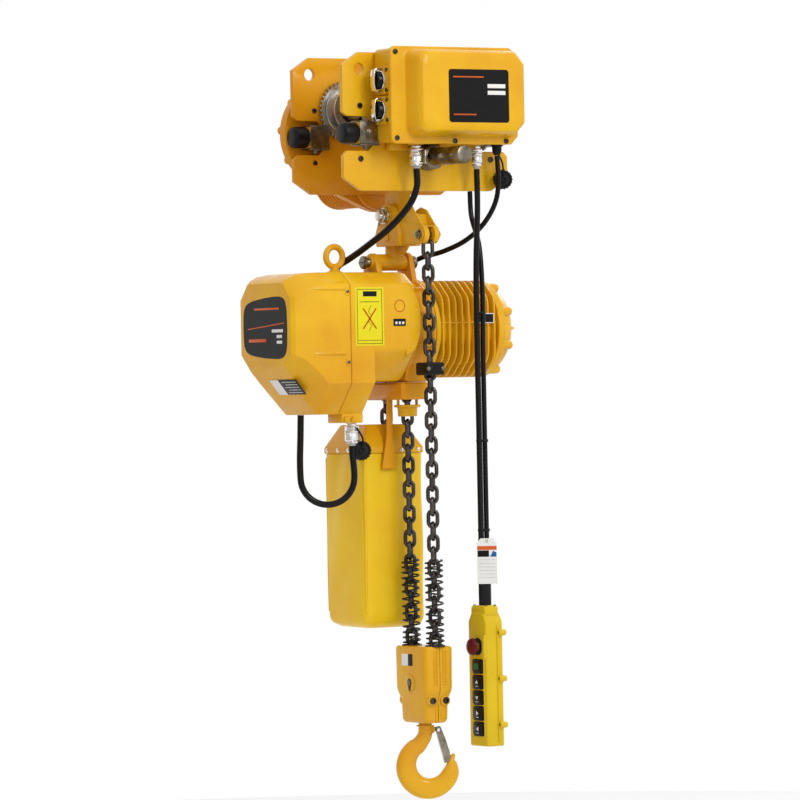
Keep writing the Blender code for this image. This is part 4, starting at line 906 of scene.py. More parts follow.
def stepped_gland(x, y, top, length, width):
    """A chrome gland: thread, hexagon, barrel, dome nut, and a clear sleeve on the cable."""
    def hexagon(radius, turn):
        angles = [math.pi * i / 3 + turn for i in range(6)]
        return [(x + radius * math.cos(a), y + radius * math.sin(a)) for a in angles]

    parts = [rod((x, y, top), (x, y, top - length * 0.16), width * 0.72, 36, 0.0006),
             prism(hexagon(width * 1.02, 0.3), "Z", top - length * 0.34, top - length * 0.14, 0.0008)]
    barrel = ((0, 0.48), (0.8, 0.48), (0.93, 0.455), (1, 0.42), (1, 0.2), (0.965, 0.18), (0.965, 0.15),
              (1, 0.13), (1, 0.02), (0.94, 0), (0, 0))
    parts.append(turned([(width * across, length * down) for across, down in barrel],
                        (x, y, top - length * 0.34), -Z, 44))
    parts.append(prism(hexagon(width * 0.9, 0), "Z", top - length * 0.9, top - length * 0.8, 0.0008))
    sleeve = turned([(0, length * 0.12), (width * 0.52, length * 0.12), (width * 0.66, 0), (0, 0)],
                    (x, y, top - length * 0.88), -Z, 32)
    return parts, sleeve


def glands():
    places = (("power_gland", POWER_X, GLAND_Y, -0.0325, 0.0458, 0.0142, "trolley"),
              ("pendant_gland", PENDANT_X, GLAND_Y, -0.0325, 0.0458, 0.0118, "trolley"),
              ("loop_gland", -0.128, -0.01, -0.5709, 0.044, 0.0142, "hoist"))
    for name, x, y, top, length, width, body in places:
        parts, sleeve = stepped_gland(x, y, top, length, width)
        piece(f"{name}_metal", parts, CHROME, body, (name,), 30)
        piece(f"{name}_sleeve", sleeve, SLEEVE, body)


def hanging_cap(name, at, direction, body, anchor):
    """A black dust cap on its short strap."""
    parts = [turned([(0, 0.003), (0.004, 0.003), (0.0046, 0.006), (0.0062, 0.006), (0.0068, 0.0028),
                     (0.014, 0.0024), (0.0152, 0.0046), (0.0178, 0.0046), (0.0186, 0.003), (0.0186, -0.008),
                     (0.0176, -0.0092), (0, -0.0092)], at, direction, 40)]
    grips = 18
    frame_at = along(at, direction)
    for i in range(grips):
        angle = 2 * math.pi * i / grips
        spot = Vector((0.0186 * math.cos(angle), 0.0186 * math.sin(angle), 0))
        parts.append(rod(frame_at @ (spot - Z * 0.008), frame_at @ (spot + Z * 0.0025), 0.0012, 10, 0.0003))
    middle = (Vector(at) + Vector(anchor)) / 2 + Vector((0.006, -0.004, 0))
    parts.append(tube(smooth_route([anchor, middle, at], 0.004), 0.0019, 10))
    piece(name, parts, RUBBER, body)


# ---- suspension -----------------------------------------------------------------------

def suspension():
    refined("hanger", "hanger", YELLOW, 0.002, 3)
    refined("suspension_bracket", "hoist", YELLOW, 0.0022, 3)
    ribs = [block((-0.029, PIN_Y - 0.006, -0.214), (-0.0262, PIN_Y + 0.006, -0.188), 0.0012),
            block((0.0262, PIN_Y - 0.006, -0.214), (0.029, PIN_Y + 0.006, -0.188), 0.0012)]
    web = [(-0.028, -0.2235), (0.0, -0.2235), (0.004, -0.242), (-0.01, -0.24)]
    ribs.append(prism(web, "X", -0.0045, 0.0045, 0.0015))
    for side in (-1, 1):
        ribs.append(rod((side * 0.0258, PIN_Y, PIN_Z), (side * 0.0292, PIN_Y, PIN_Z), 0.0185, 44, 0.0012))
        ribs.append(rod((side * 0.0168, DEAD_Y, DEAD_END_Z), (side * 0.0195, DEAD_Y, DEAD_END_Z), 0.0125, 36,
                        0.001))
    arm = [(-0.01, -0.186), (-0.03, -0.158), (-0.052, -0.15), (-0.074, -0.156), (-0.108, -0.19),
           (-0.104, -0.204), (-0.06, -0.204), (-0.02, -0.205)]
    for side in (-1, 1):
        low, high = sorted((side * 0.013, side * 0.0166))
        ribs.append(prism(arm, "X", low, high, 0.0016))
    saddle = [(-0.012, -0.186), (-0.05, -0.162), (-0.074, -0.164), (-0.08, -0.186)]
    ribs.append(prism(saddle, "X", -0.015, 0.015, 0.002))
    piece("bracket_bosses", ribs, YELLOW, "hoist", (), 30)

    bolt = [rod((-0.0475, PIN_Y, PIN_Z), (0.0275, PIN_Y, PIN_Z), 0.0098, 36, 0.001),
            hex_nut((0.0294, PIN_Y, PIN_Z), (1, 0, 0), 0.0265, 0.006, 0.03)]
    nut = hex_nut((-0.0296, PIN_Y, PIN_Z), (-1, 0, 0), 0.027, 0.0115, 0.033)
    key = block((-0.0452, PIN_Y - 0.0015, PIN_Z - 0.012), (-0.0405, PIN_Y + 0.0015, PIN_Z + 0.012), 0.0004)
    piece("hanger_bolt", [*bolt, nut, key], ZINC, "hanger", ("hanger_pin",), 30)
    split = tube(smooth_route([(-0.044, PIN_Y, PIN_Z + 0.016), (-0.044, PIN_Y, PIN_Z - 0.015),
                               (-0.0455, PIN_Y - 0.004, PIN_Z - 0.02)], 0.002), 0.0013, 10)
    piece("hanger_split_pin", split, DULL, "hanger")

    bar = [rod((-0.0735, SHEAVE_Y, LOWER_PIN_Z), (0.0465, SHEAVE_Y, LOWER_PIN_Z), 0.009, 36, 0.0008),
           rod((0.04, SHEAVE_Y, LOWER_PIN_Z), (0.0478, SHEAVE_Y, LOWER_PIN_Z), 0.013, 36, 0.0012)]
    head = turned([(0, 0.0075), (0.01, 0.0075), (0.013, 0.005), (0.013, 0), (0, 0)],
                  (-0.068, SHEAVE_Y, LOWER_PIN_Z), -X, 36)
    slot = block((-0.0762, SHEAVE_Y - 0.011, LOWER_PIN_Z - 0.0011),
                 (-0.075, SHEAVE_Y + 0.011, LOWER_PIN_Z + 0.0011), 0.0003)
    piece("bracket_bar", [*bar, head], DULL, "hoist", ("bracket_pin",), 30)
    piece("bracket_bar_slot", slot, SCREW, "hoist")
    dead = [rod((-0.0215, DEAD_Y, DEAD_END_Z), (0.0215, DEAD_Y, DEAD_END_Z), 0.0062, 28, 0.0006)]
    for side in (-1, 1):
        dead.append(hex_nut((side * 0.0197, DEAD_Y, DEAD_END_Z), (side, 0, 0), 0.015, 0.0058, 0.0195))
    piece("dead_end_bolt", dead, DULL, "hoist", (), 30)


# ---- hoist body -----------------------------------------------------------------------

COVER_END, COVER_SEAM, CASE_STEP, CASE_END = -0.3, -0.171, -0.116, -0.0205
BODY_Y0, BODY_Y1 = -0.085, 0.135
COVER_BOSS_Z = (-0.315, -0.452)
FLANKS = ((BODY_Y0, -1), (BODY_Y1, 1))


def body_ring(x, y0, y1, z0, z1, top, bottom):
    """Eight-sided ring in the plane X = x. top and bottom are the chamfers, as (across, down)."""
    return [(x, y0 + top[0], z1), (x, y1 - top[0], z1), (x, y1, z1 - top[1]), (x, y1, z0 + bottom[1]),
            (x, y1 - bottom[0], z0), (x, y0 + bottom[0], z0), (x, y0, z0 + bottom[1]), (x, y0, z1 - top[1])]


def full_ring(x, inset=0.0, low=BODY_Z0):
    return body_ring(x, BODY_Y0 + inset, BODY_Y1 - inset, low + inset, BODY_Z1 - inset, (0.034, 0.024),
                     (0.052, 0.06))


def hoist_covers():
    seam = COVER_SEAM - 0.0006
    rings = [full_ring(seam, 0.0012), full_ring(seam - 0.0015), full_ring(-0.222),
             body_ring(-0.25, -0.0848, 0.1348, -0.5215, -0.2778, (0.034, 0.025), (0.05, 0.056)),
             body_ring(-0.275, -0.0825, 0.132, -0.491, -0.2825, (0.034, 0.032), (0.042, 0.046)),
             body_ring(-0.292, -0.077, 0.125, -0.468, -0.29, (0.032, 0.034), (0.03, 0.03)),
             body_ring(COVER_END, -0.0705, 0.118, -0.456, -0.2965, (0.028, 0.032), (0.024, 0.022))]
    cover = loft(rings, 0.0085, 5)
    ridges = []
    steps = ((-0.262, 0.001, -0.0028), (-0.248, 0.004, 0.0022), (-0.186, 0.0062, 0.0046),
             (-0.179, 0.0016, -0.0028))
    for z in (-0.31, -0.436):
        for y, side in FLANKS:
            root = y - side * 0.003
            ridge = [[(x, root, z - half), (x, y + side * high, z), (x, root, z + half * 2.2)]
                     for x, half, high in steps]
            ridges.append(loft(ridge, 0.0006, 2))
    bosses = [block((-0.183, y - 0.0012, z - 0.0075), (-0.174, y + 0.0012, z + 0.0075), 0.0011)
              for y, _ in FLANKS for z in COVER_BOSS_Z]
    piece("control_cover_shell", [cover, *ridges, *bosses], YELLOW, "hoist",
          ("control_cover",), 60)
    heads = [cap_screw((-0.1785, y + side * 0.0008, z), (0, side, 0), 0.0035, 0.0014)
             for y, side in FLANKS for z in COVER_BOSS_Z]
    piece("control_cover_screws", heads, DULL, "hoist")
    gasket = loft([full_ring(COVER_SEAM - 0.001, 0.0022), full_ring(COVER_SEAM + 0.001, 0.0022)])
    piece("cover_gasket", gasket, RUBBER, "hoist")

    wide = loft([full_ring(COVER_SEAM, 0.0012), full_ring(COVER_SEAM + 0.0015), full_ring(CASE_STEP - 0.003),
                 full_ring(CASE_STEP, 0.0025)], 0.0042, 4)
    narrow = loft([full_ring(CASE_STEP - 0.01, 0.0002, -0.491), full_ring(-0.034, 0.0002, -0.491),
                   full_ring(CASE_END, 0.0035, -0.4898)], 0.006, 4)
    wings = []
    for y, side in FLANKS:
        shape = []
        for depth, shrink in ((0.0005, 0.0), (0.008, 0.003), (0.017, 0.012)):
            ring = []
            for i in range(17):
                share = i / 16
                z = -0.44 + share * 0.136
                reach = -0.04 + (0.031 - shrink) * math.sin(math.pi * share) ** 0.45
                ring.append((reach, y - side * depth, z))
            shape.append([(-0.045, y - side * depth, -0.44), *ring, (-0.045, y - side * depth, -0.304)])
        wings.append(loft(shape, 0.0022, 3))
    lug = prism(hull(arc((SHEAVE_Y, LOWER_PIN_Z), 0.018, 0, 180, 24)
                     + [(SHEAVE_Y - 0.03, BODY_Z1 - 0.004), (SHEAVE_Y + 0.03, BODY_Z1 - 0.004)]), "X", -0.056,
                -0.0435, 0.0018)
    boss = rod((-0.06, SHEAVE_Y, LOWER_PIN_Z), (-0.0435, SHEAVE_Y, LOWER_PIN_Z), 0.015, 40, 0.0012)
    collar = rod((-0.112, 0.061, BODY_Z1 - 0.003), (-0.112, 0.061, BODY_Z1 + 0.0035), 0.0115, 36, 0.0012)
    socket = block((-0.165, -0.035, -0.5703), (-0.1165, 0.02, BODY_Z0 + 0.002), 0.003)
    piece("gear_case_shell", [wide, narrow, *wings, lug, boss, collar, socket], YELLOW, "hoist",
          ("gear_case",), 60)
    nuts = [hex_nut((x, -0.0352, -0.564), (0, -1, 0), 0.0105, 0.005, 0.014) for x in (-0.156, -0.14)]
    piece("socket_bracket_nuts", nuts, YELLOW, "hoist", (), 30)

    out = COVER_END - 0.0004
    shape = []
    for i in range(96):
        angle = 2 * math.pi * i / 96
        across, up = squarish(math.cos(angle), 0.3), squarish(math.sin(angle), 0.3)
        y = 0.024 + 0.079 * across * (1 + 0.05 * (1 - up * up))
        height = 0.057 - 0.006 * across
        shape.append((y, -0.3855 + height * up * (1 + 0.07 * (1 - across * across)) + 0.0025 * (1 - up)))
    piece("cover_name_plate", prism(shape, "X", out - 0.0002, out + 0.001), INK, "hoist")
    edge = out - 0.0006
    slope = [(-0.048, -0.3735), (0.09, -0.3835), (0.09, -0.3855), (-0.048, -0.3755)]
    bars = [prism(slope, "X", edge, edge + 0.0008),
            block((edge, 0.02, -0.41), (edge + 0.0008, 0.086, -0.404), 0.0001),
            block((edge, -0.03, -0.348), (edge + 0.0008, 0.064, -0.344), 0.0001)]
    piece("cover_plate_bars", bars, ACCENT, "hoist")
    fields = [block((edge, y0, z), (edge + 0.0008, y1, z + 0.0058), 0.0001)
              for y0, y1, z in ((-0.044, -0.002, -0.392), (-0.04, -0.02, -0.403), (-0.04, -0.02, -0.414))]
    piece("cover_plate_fields", fields, MARK, "hoist")

    down = Vector((0.025, 0, -0.0305)).normalized()
    outward = Vector((down.z, 0, -down.x))
    lie = Matrix(((0, down.x, outward.x, 0), (1, down.y, outward.y, 0), (0, down.z, outward.z, 0),
                  (0, 0, 0, 1)))
    spot = Matrix.Translation(Vector((-0.269, -0.006, -0.4984)) + outward * 0.0004) @ lie
    for name, look, low, high in (("lower_label_black", INK, (-0.05, -0.0185), (0.018, 0.0185)),
                                  ("lower_label_white", MARK, (0.0184, -0.0185), (0.05, 0.0185))):
        tile = placed(block((*low, -0.0004), (*high, 0.0006), 0.0002), spot)
        piece(name, tile, look, "hoist")
    lines = [placed(block((-0.044, -0.0138 + 0.0065 * i, 0.0004),
                          (0.008 - 0.008 * (i % 2), -0.0126 + 0.0065 * i, 0.001), 0.0001), spot)
             for i in range(5)]
    piece("lower_label_lines", lines, MARK, "hoist")


def side_stickers():
    face = BODY_Y0 + 0.0002
    x0, x1, z0, z1 = -0.161, -0.096, -0.421, -0.307

    def tile(a, b, c, d, lift):
        return block((a, face - lift, c), (b, face + 0.0006, d), 0.0001)

    piece("warning_sticker", tile(x0, x1, z0, z1, 0.0006), STICKER, "hoist")
    frame_bars = []
    for a, b, c, d in ((x0 + 0.004, x1 - 0.004, z1 - 0.0046, z1 - 0.0036),
                       (x0 + 0.004, x1 - 0.004, z0 + 0.0036, z0 + 0.0046),
                       (x0 + 0.004, x0 + 0.005, z0 + 0.004, z1 - 0.004),
                       (x1 - 0.005, x1 - 0.004, z0 + 0.004, z1 - 0.004),
                       (x0 + 0.018, x1 - 0.016, z1 - 0.018, z1 - 0.008),
                       (x0 + 0.01, x1 - 0.01, z1 - 0.029, z1 - 0.028),
                       (x0 + 0.006, x1 - 0.006, z0 + 0.01, z0 + 0.0108)):
        frame_bars.append(tile(a, b, c, d, 0.0009))
    piece("warning_sticker_frame", frame_bars, INK, "hoist")
    middle = Vector(((x0 + x1) / 2, face - 0.0008, (z0 + z1) / 2 - 0.004))
    cross = []
    for tilt in (-1, 1):
        bar = block((-0.025, -0.0003, -0.0013), (0.025, 0.0003, 0.0013), 0.0001)
        cross.append(placed(bar, Matrix.Translation(middle)
                            @ Matrix.Rotation(tilt * math.radians(53), 4, "Y")))
    piece("warning_sticker_cross", cross, CROSS, "hoist")
    zigzag = ((0.004, 0.026), (-0.003, 0.014), (0.004, 0.006), (-0.004, -0.004), (0.005, -0.014),
              (-0.002, -0.024))
    figure = tube([middle + Vector((u, -0.0001, w)) for u, w in zigzag], 0.0004, 6)
    piece("warning_sticker_figure", figure, INK, "hoist")
    ring = [(-0.059 + 0.0115 * math.cos(a), face - 0.0002, -0.344 + 0.0115 * math.sin(a))
            for a in (2 * math.pi * i / 48 for i in range(48))]
    piece("round_mark", tube(ring, 0.0007, 6, closed=True), CROSS, "hoist")
    piece("small_label", tile(-0.074, -0.046, -0.383, -0.369, 0.0006), INK, "hoist")
    dots = [tile(x, x + 0.0046, -0.3795, -0.3745, 0.0009) for x in (-0.07, -0.0622, -0.0544)]
    piece("small_label_fields", dots, MARK, "hoist")


def round_axis(radius, count, first):
    """(Y, Z) points evenly round the hoist's axis, from the angle first in degrees."""
    angles = [math.radians(first + 360 / count * i) for i in range(count)]
    return [(SHEAVE_Y + radius * math.cos(a), AXIS_Z + radius * math.sin(a)) for a in angles]


def sheave_housing():
    centre = (-0.02, SHEAVE_Y, AXIS_Z)
    drum = turned([(0.0185, 0.054), (0.096, 0.054), (0.1, 0.0525), (0.101, 0.048), (0.096, 0.044),
                   (0.095, 0.04), (0.095, 0.013), (0.1, 0.01), (0.103, 0.008), (0.103, 0.0018), (0.1015, 0),
                   (0.0185, 0), (0.0185, 0.054)], centre, X, 96)
    lug_shape = hull(arc((SHEAVE_Y, LOWER_PIN_Z), 0.02, 0, 180, 24)
                     + [(SHEAVE_Y - 0.034, -0.305), (SHEAVE_Y + 0.034, -0.305)])
    lug = prism(lug_shape, "X", 0.0225, 0.034, 0.0018)
    foot = block((-0.0195, LIVE_Y - 0.0285, -0.4924), (0.0335, SLACK_Y + 0.0285, -0.43), 0.005, 4)
    ribs = []
    for i in range(10):
        angle = math.radians(36 * i + 18)
        rib = block((-0.01, 0.084, -0.003), (0.025, 0.1015, 0.003), 0.0012)
        ribs.append(placed(rib, Matrix.Translation((0, SHEAVE_Y, AXIS_Z)) @ Matrix.Rotation(angle, 4, "X")))
    piece("sheave_case", [drum, lug, foot, *ribs], ORANGE, "hoist", ("sheave_housing",), 30)
    screws = [cap_screw((0.0335, y, z), (1, 0, 0), 0.0045, 0.003) for y, z in round_axis(0.0905, 8, 40)]
    piece("sheave_case_screws", screws, SCREW, "hoist")


def fin_ring(half_y, half_z, steps=5):
    """One fin's outline in (Y, Z): an upright octagon with rounded corners."""
    cut_y, cut_top, cut_low = half_y * 0.44, half_z * 0.38, half_z * 0.42
    corners = [(half_y, half_z - cut_top), (half_y - cut_y, half_z), (-half_y + cut_y, half_z),
               (-half_y, half_z - cut_top), (-half_y, -half_z + cut_low), (-half_y + cut_y, -half_z),
               (half_y - cut_y, -half_z), (half_y, -half_z + cut_low)]
    points = []
    for i, (y, z) in enumerate(corners):
        before, after = Vector(corners[i - 1]), Vector(corners[(i + 1) % 8])
        corner = Vector((y, z))
        start = corner + (before - corner).normalized() * 0.014
        end = corner + (after - corner).normalized() * 0.014
        for k in range(steps + 1):
            t = k / steps
            spot = start * (1 - t) ** 2 + corner * 2 * t * (1 - t) + end * t * t
            points.append((SHEAVE_Y + spot.x, AXIS_Z + spot.y))
    return points


def hoist_motor():
    parts = [turned([(0, 0.147), (0.085, 0.147), (0.085, 0.012), (0.099, 0.01), (0.1, 0.0085), (0.1, 0.0012),
                     (0.099, 0), (0, 0)], (0.0345, SHEAVE_Y, AXIS_Z), X, 80)]
    fins, lean = 9, 0.0018
    outline, root = fin_ring(0.0955, 0.0955), fin_ring(0.08, 0.08)
    for i in range(fins):
        x = 0.052 + (0.172 - 0.052) * i / (fins - 1)
        steps = ((-lean * 1.5, root), (-lean, outline), (lean, outline), (lean * 1.5, root))
        parts.append(loft([[(x + u, *p) for p in ring] for u, ring in steps], 0.0009, 2))
    for side in (-1, 1):
        y = SHEAVE_Y + side * 0.0945
        low, high = sorted((y, y + side * 0.0018))
        parts.append(block((0.04, low, AXIS_Z + 0.011), (0.176, high, AXIS_Z + 0.0126), 0.0004))
    for y, z in round_axis(0.09, 4, 45):
        parts.append(rod((0.036, y, z), (0.1815, y, z), 0.0062, 24, 0.0008))
    piece("motor_shell", parts, YELLOW, "hoist", ("motor_housing",), 32)
    y = SHEAVE_Y - 0.0955
    piece("motor_label_edge", block((0.1285, y - 0.0012, -0.379), (0.1695, y, -0.3595), 0.0004), MARK,
          "hoist")
    piece("motor_label", block((0.13, y - 0.0016, -0.3775), (0.168, y - 0.0008, -0.361), 0.0003), INK,
          "hoist")

    start = 0.1824
    profile = [(0, 0.053), (0.03, 0.053), (0.05, 0.052), (0.064, 0.049), (0.074, 0.043), (0.0815, 0.035),
               (0.086, 0.026), (0.0885, 0.019), (0.0945, 0.0165), (0.096, 0.0145), (0.096, 0.0015),
               (0.0945, 0), (0, 0)]
    bell = [turned(profile, (start, SHEAVE_Y, AXIS_Z), X, 88)]
    screws = []
    for y, z in round_axis(0.087, 8, 22.5):
        bell.append(turned([(0, 0.037), (0.006, 0.037), (0.0082, 0.035), (0.0092, 0.03), (0.0096, 0.002),
                            (0, 0.002)], (start, y, z), X, 28))
        screws.append(cap_screw((start + 0.036, y, z), (1, 0, 0), 0.0042, 0.0028))
    for i in range(4):
        rib = block((0.001, 0.015, -0.0026), (0.05, 0.072, 0.0026), 0.001)
        bell.append(placed(rib, Matrix.Translation((start, SHEAVE_Y, AXIS_Z))
                           @ Matrix.Rotation(math.radians(90 * i), 4, "X")))
    piece("motor_bell", bell, YELLOW, "hoist", ("motor_end_cover",), 30)
    piece("motor_bell_screws", screws, SCREW, "hoist")
    piece("brake_pin", rod((start + 0.051, SHEAVE_Y, AXIS_Z), (0.2398, SHEAVE_Y, AXIS_Z), 0.003, 20, 0.0008),
          DULL, "hoist")


def eye_bolt():
    ring_z = BODY_Z1 + 0.0325
    ring = [(-0.138 + 0.0188 * math.cos(a), SHEAVE_Y, ring_z + 0.0196 * math.sin(a))
            for a in (2 * math.pi * i / 64 for i in range(64))]
    foot = turned([(0, 0.0125), (0.0065, 0.0125), (0.0085, 0.008), (0.0105, 0.0045), (0.015, 0.0035),
                   (0.016, 0.0022), (0.016, 0.0002), (0, 0.0002)], (-0.138, SHEAVE_Y, BODY_Z1), Z, 40)
    piece("lifting_eye", [tube(ring, 0.0061, 24, closed=True), foot], YELLOW, "hoist",
          ("eye_bolt",), 40)


def chain_guide():
    refined("chain_guide", "hoist", ORANGE, 0.0016, 3)
    spouts = []
    for y in (LIVE_Y, SLACK_Y):
        spouts.append(turned([(0.0162, 0.0), (0.0245, 0.0), (0.0262, 0.002), (0.0262, 0.0075), (0.0235, 0.01),
                              (0.0162, 0.01), (0.0162, 0.0)], (0, y, -0.5272), Z, 48))
    screws = [hex_nut((x, y, -0.5272), (0, 0, -1), 0.011, 0.005, 0.014) for x in (-0.0215, 0.0235)
              for y in (0.022, 0.034)]
    piece("guide_screws", screws, DULL, "hoist", (), 30)
    piece("guide_spouts", spouts, ORANGE, "hoist", (), 30)
    cup = turned([(0.0156, 0.023), (0.025, 0.023), (0.0265, 0.0218), (0.0265, 0.0192), (0.025, 0.018),
                  (0.0205, 0.0175), (0.0196, 0.015), (0.019, 0.0015), (0.0182, 0.0), (0.016, 0.0),
                  (0.0156, 0.001), (0.0156, 0.023)], (0, LIVE_Y, -0.56), Z, 52)
    pins = [rod((x, LIVE_Y, -0.541), (x, LIVE_Y, -0.512), 0.0029, 20, 0.0004) for x in (-0.0215, 0.0215)]
    piece("limit_cup", [cup, *pins], YELLOW, "limit_striker", ("limit_striker",), 30)
    refined("chain_clip", "hoist", RUBBER, 0.0022, 3)
    ends = [rod((x, DEAD_Y - 0.0228, -0.4675), (x, DEAD_Y - 0.019, -0.4675), 0.0042, 24, 0.0008)
            for x in (-0.0165, 0.0165)]
    piece("clip_rivets", ends, DULL, "hoist")


# ---- chain container ------------------------------------------------------------------

BAG_X0, BAG_X1, BAG_Y0, BAG_Y1 = -0.085, 0.058, 0.02, 0.172
BAG_Z0, BAG_Z1, COLLAR_Z1 = -0.976, -0.632, -0.575


def bag_ring(z, inset, bulge, radius, ripple=0.0):
    """A rounded rectangle whose sides swell by bulge, with slow ripples of the sheet along them."""
    outline = []
    x0, x1, y0, y1 = BAG_X0 + inset, BAG_X1 - inset, BAG_Y0 + inset, BAG_Y1 - inset
    left, right, near, far = x0 + radius, x1 - radius, y0 + radius, y1 - radius
    for start, end, normal, corner, angle in (((right, y0), (left, y0), (0, -1), (left, near), 270),
                                              ((x0, near), (x0, far), (-1, 0), (left, far), 180),
                                              ((left, y1), (right, y1), (0, 1), (right, far), 90),
                                              ((x1, far), (x1, near), (1, 0), (right, near), 0)):
        for i in range(17):
            t = i / 16
            swell = (bulge + ripple * math.sin(3 * math.pi * t + 22 * z)) * math.sin(math.pi * t)
            outline.append(tuple(a * (1 - t) + b * t + n * swell for a, b, n in zip(start, end, normal)))
        outline += arc(corner, radius, angle, angle - 90, 6)[1:-1]
    return [(x, y, z) for x, y in outline]


def chain_container():
    rings = []
    height = BAG_Z1 - 0.0002 - BAG_Z0
    for i in range(45):
        t = i / 44
        z = BAG_Z0 + height * t
        low = max(0.0, 1 - t / 0.07)
        inset = 0.0016 + 0.016 * (1 - math.sqrt(max(0.0, 1 - low * low)))
        bulge = 0.0038 * math.sin(math.pi * min(1, t * 0.92 + 0.1)) ** 0.7 * (1 - low)
        ripple = 0.0015 * (0.35 + t * t)
        rings.append(bag_ring(z, inset, bulge, 0.013, ripple * (1 - low)))
    bag = loft(rings)
    for vert in bag.verts:
        share = max(0.0, 1 - (vert.co.z - BAG_Z0) / 0.075)
        side = (vert.co.x - BAG_X0) / (BAG_X1 - BAG_X0)
        deep = (vert.co.y - BAG_Y0) / (BAG_Y1 - BAG_Y0)
        vert.co.z += share * share * (0.0035 * deep + 0.001 * side)
        vert.co.x += 0.0008 * math.sin(31 * vert.co.z + 40 * vert.co.y)
        vert.co.y += 0.0008 * math.sin(27 * vert.co.z + 35 * vert.co.x)
    seams = []
    for x, y in ((BAG_X0 + 0.0056, BAG_Y0 + 0.005), (BAG_X0 + 0.0056, BAG_Y1 - 0.005),
                 (BAG_X1 - 0.0056, BAG_Y1 - 0.005)):
        line = [(x + 0.0008 * math.sin(31 * z + 40 * y), y + 0.0008 * math.sin(27 * z + 35 * x), z)
                for z in (BAG_Z0 + 0.032 + (height - 0.04) * i / 36 for i in range(37))]
        seams.append(tube(line, 0.0022, 12))
    piece("container_bag", [bag, *seams], BAG, "hoist", ("chain_container",), 50)

    top_z, band_z = COLLAR_Z1, BAG_Z1 + 0.0125
    levels = ((BAG_Z1 + 0.0002, 0.0016), (BAG_Z1 + 0.0014, 0.0), (band_z - 0.001, 0.0),
              (band_z + 0.0014, 0.0012), (top_z - 0.0012, 0.0238), (top_z, 0.0252), (top_z - 0.0004, 0.0268),
              (top_z - 0.012, 0.0225))
    shell = loft([bag_ring(z, inset, 0.0, 0.008) for z, inset in levels], caps=False)
    bmesh.ops.solidify(shell, geom=shell.faces[:], thickness=0.0012)
    lining = loft([bag_ring(z, inset, 0.0, 0.008)
                   for z, inset in ((BAG_Z1 + 0.0006, 0.006), (BAG_Z1 - 0.01, 0.0062))], caps=False)
    bmesh.ops.solidify(lining, geom=lining.faces[:], thickness=0.0008)
    piece("collar_shell", [shell, lining], YELLOW, "hoist", ("container_collar",), 30)
    rivets = []
    rivet = [(0, 0.0024), (0.0026, 0.0021), (0.004, 0.001), (0.0044, 0.0), (0, 0.0)]
    z = BAG_Z1 + 0.0068
    for share in (0.1, 0.37, 0.63, 0.9):
        x = BAG_X0 + (BAG_X1 - BAG_X0) * share
        y = BAG_Y0 + (BAG_Y1 - BAG_Y0) * share
        for spot, out in (((x, BAG_Y0 - 0.0001, z), -Y), ((x, BAG_Y1 + 0.0001, z), Y),
                          ((BAG_X0 - 0.0001, y, z), -X), ((BAG_X1 + 0.0001, y, z), X)):
            rivets.append(turned(rivet, spot, out, 24))
    piece("collar_rivets", rivets, CHROME, "hoist")


# ---- hook block -----------------------------------------------------------------------

BLOCK_Z1 = -1.01


def block_half(z, half_x, half_y, radius, side):
    flat = side * 0.0004
    ends = [(flat, -half_y)]
    for cx, cy, first, last in ((half_x - radius, -half_y + radius, -90, 0),
                                (half_x - radius, half_y - radius, 0, 90)):
        ends += [(side * u, v) for u, v in arc((cx, cy), radius, first, last, 6)]
    ends.append((flat, half_y))
    return [(u, BLOCK_Y + v, z) for u, v in ends]


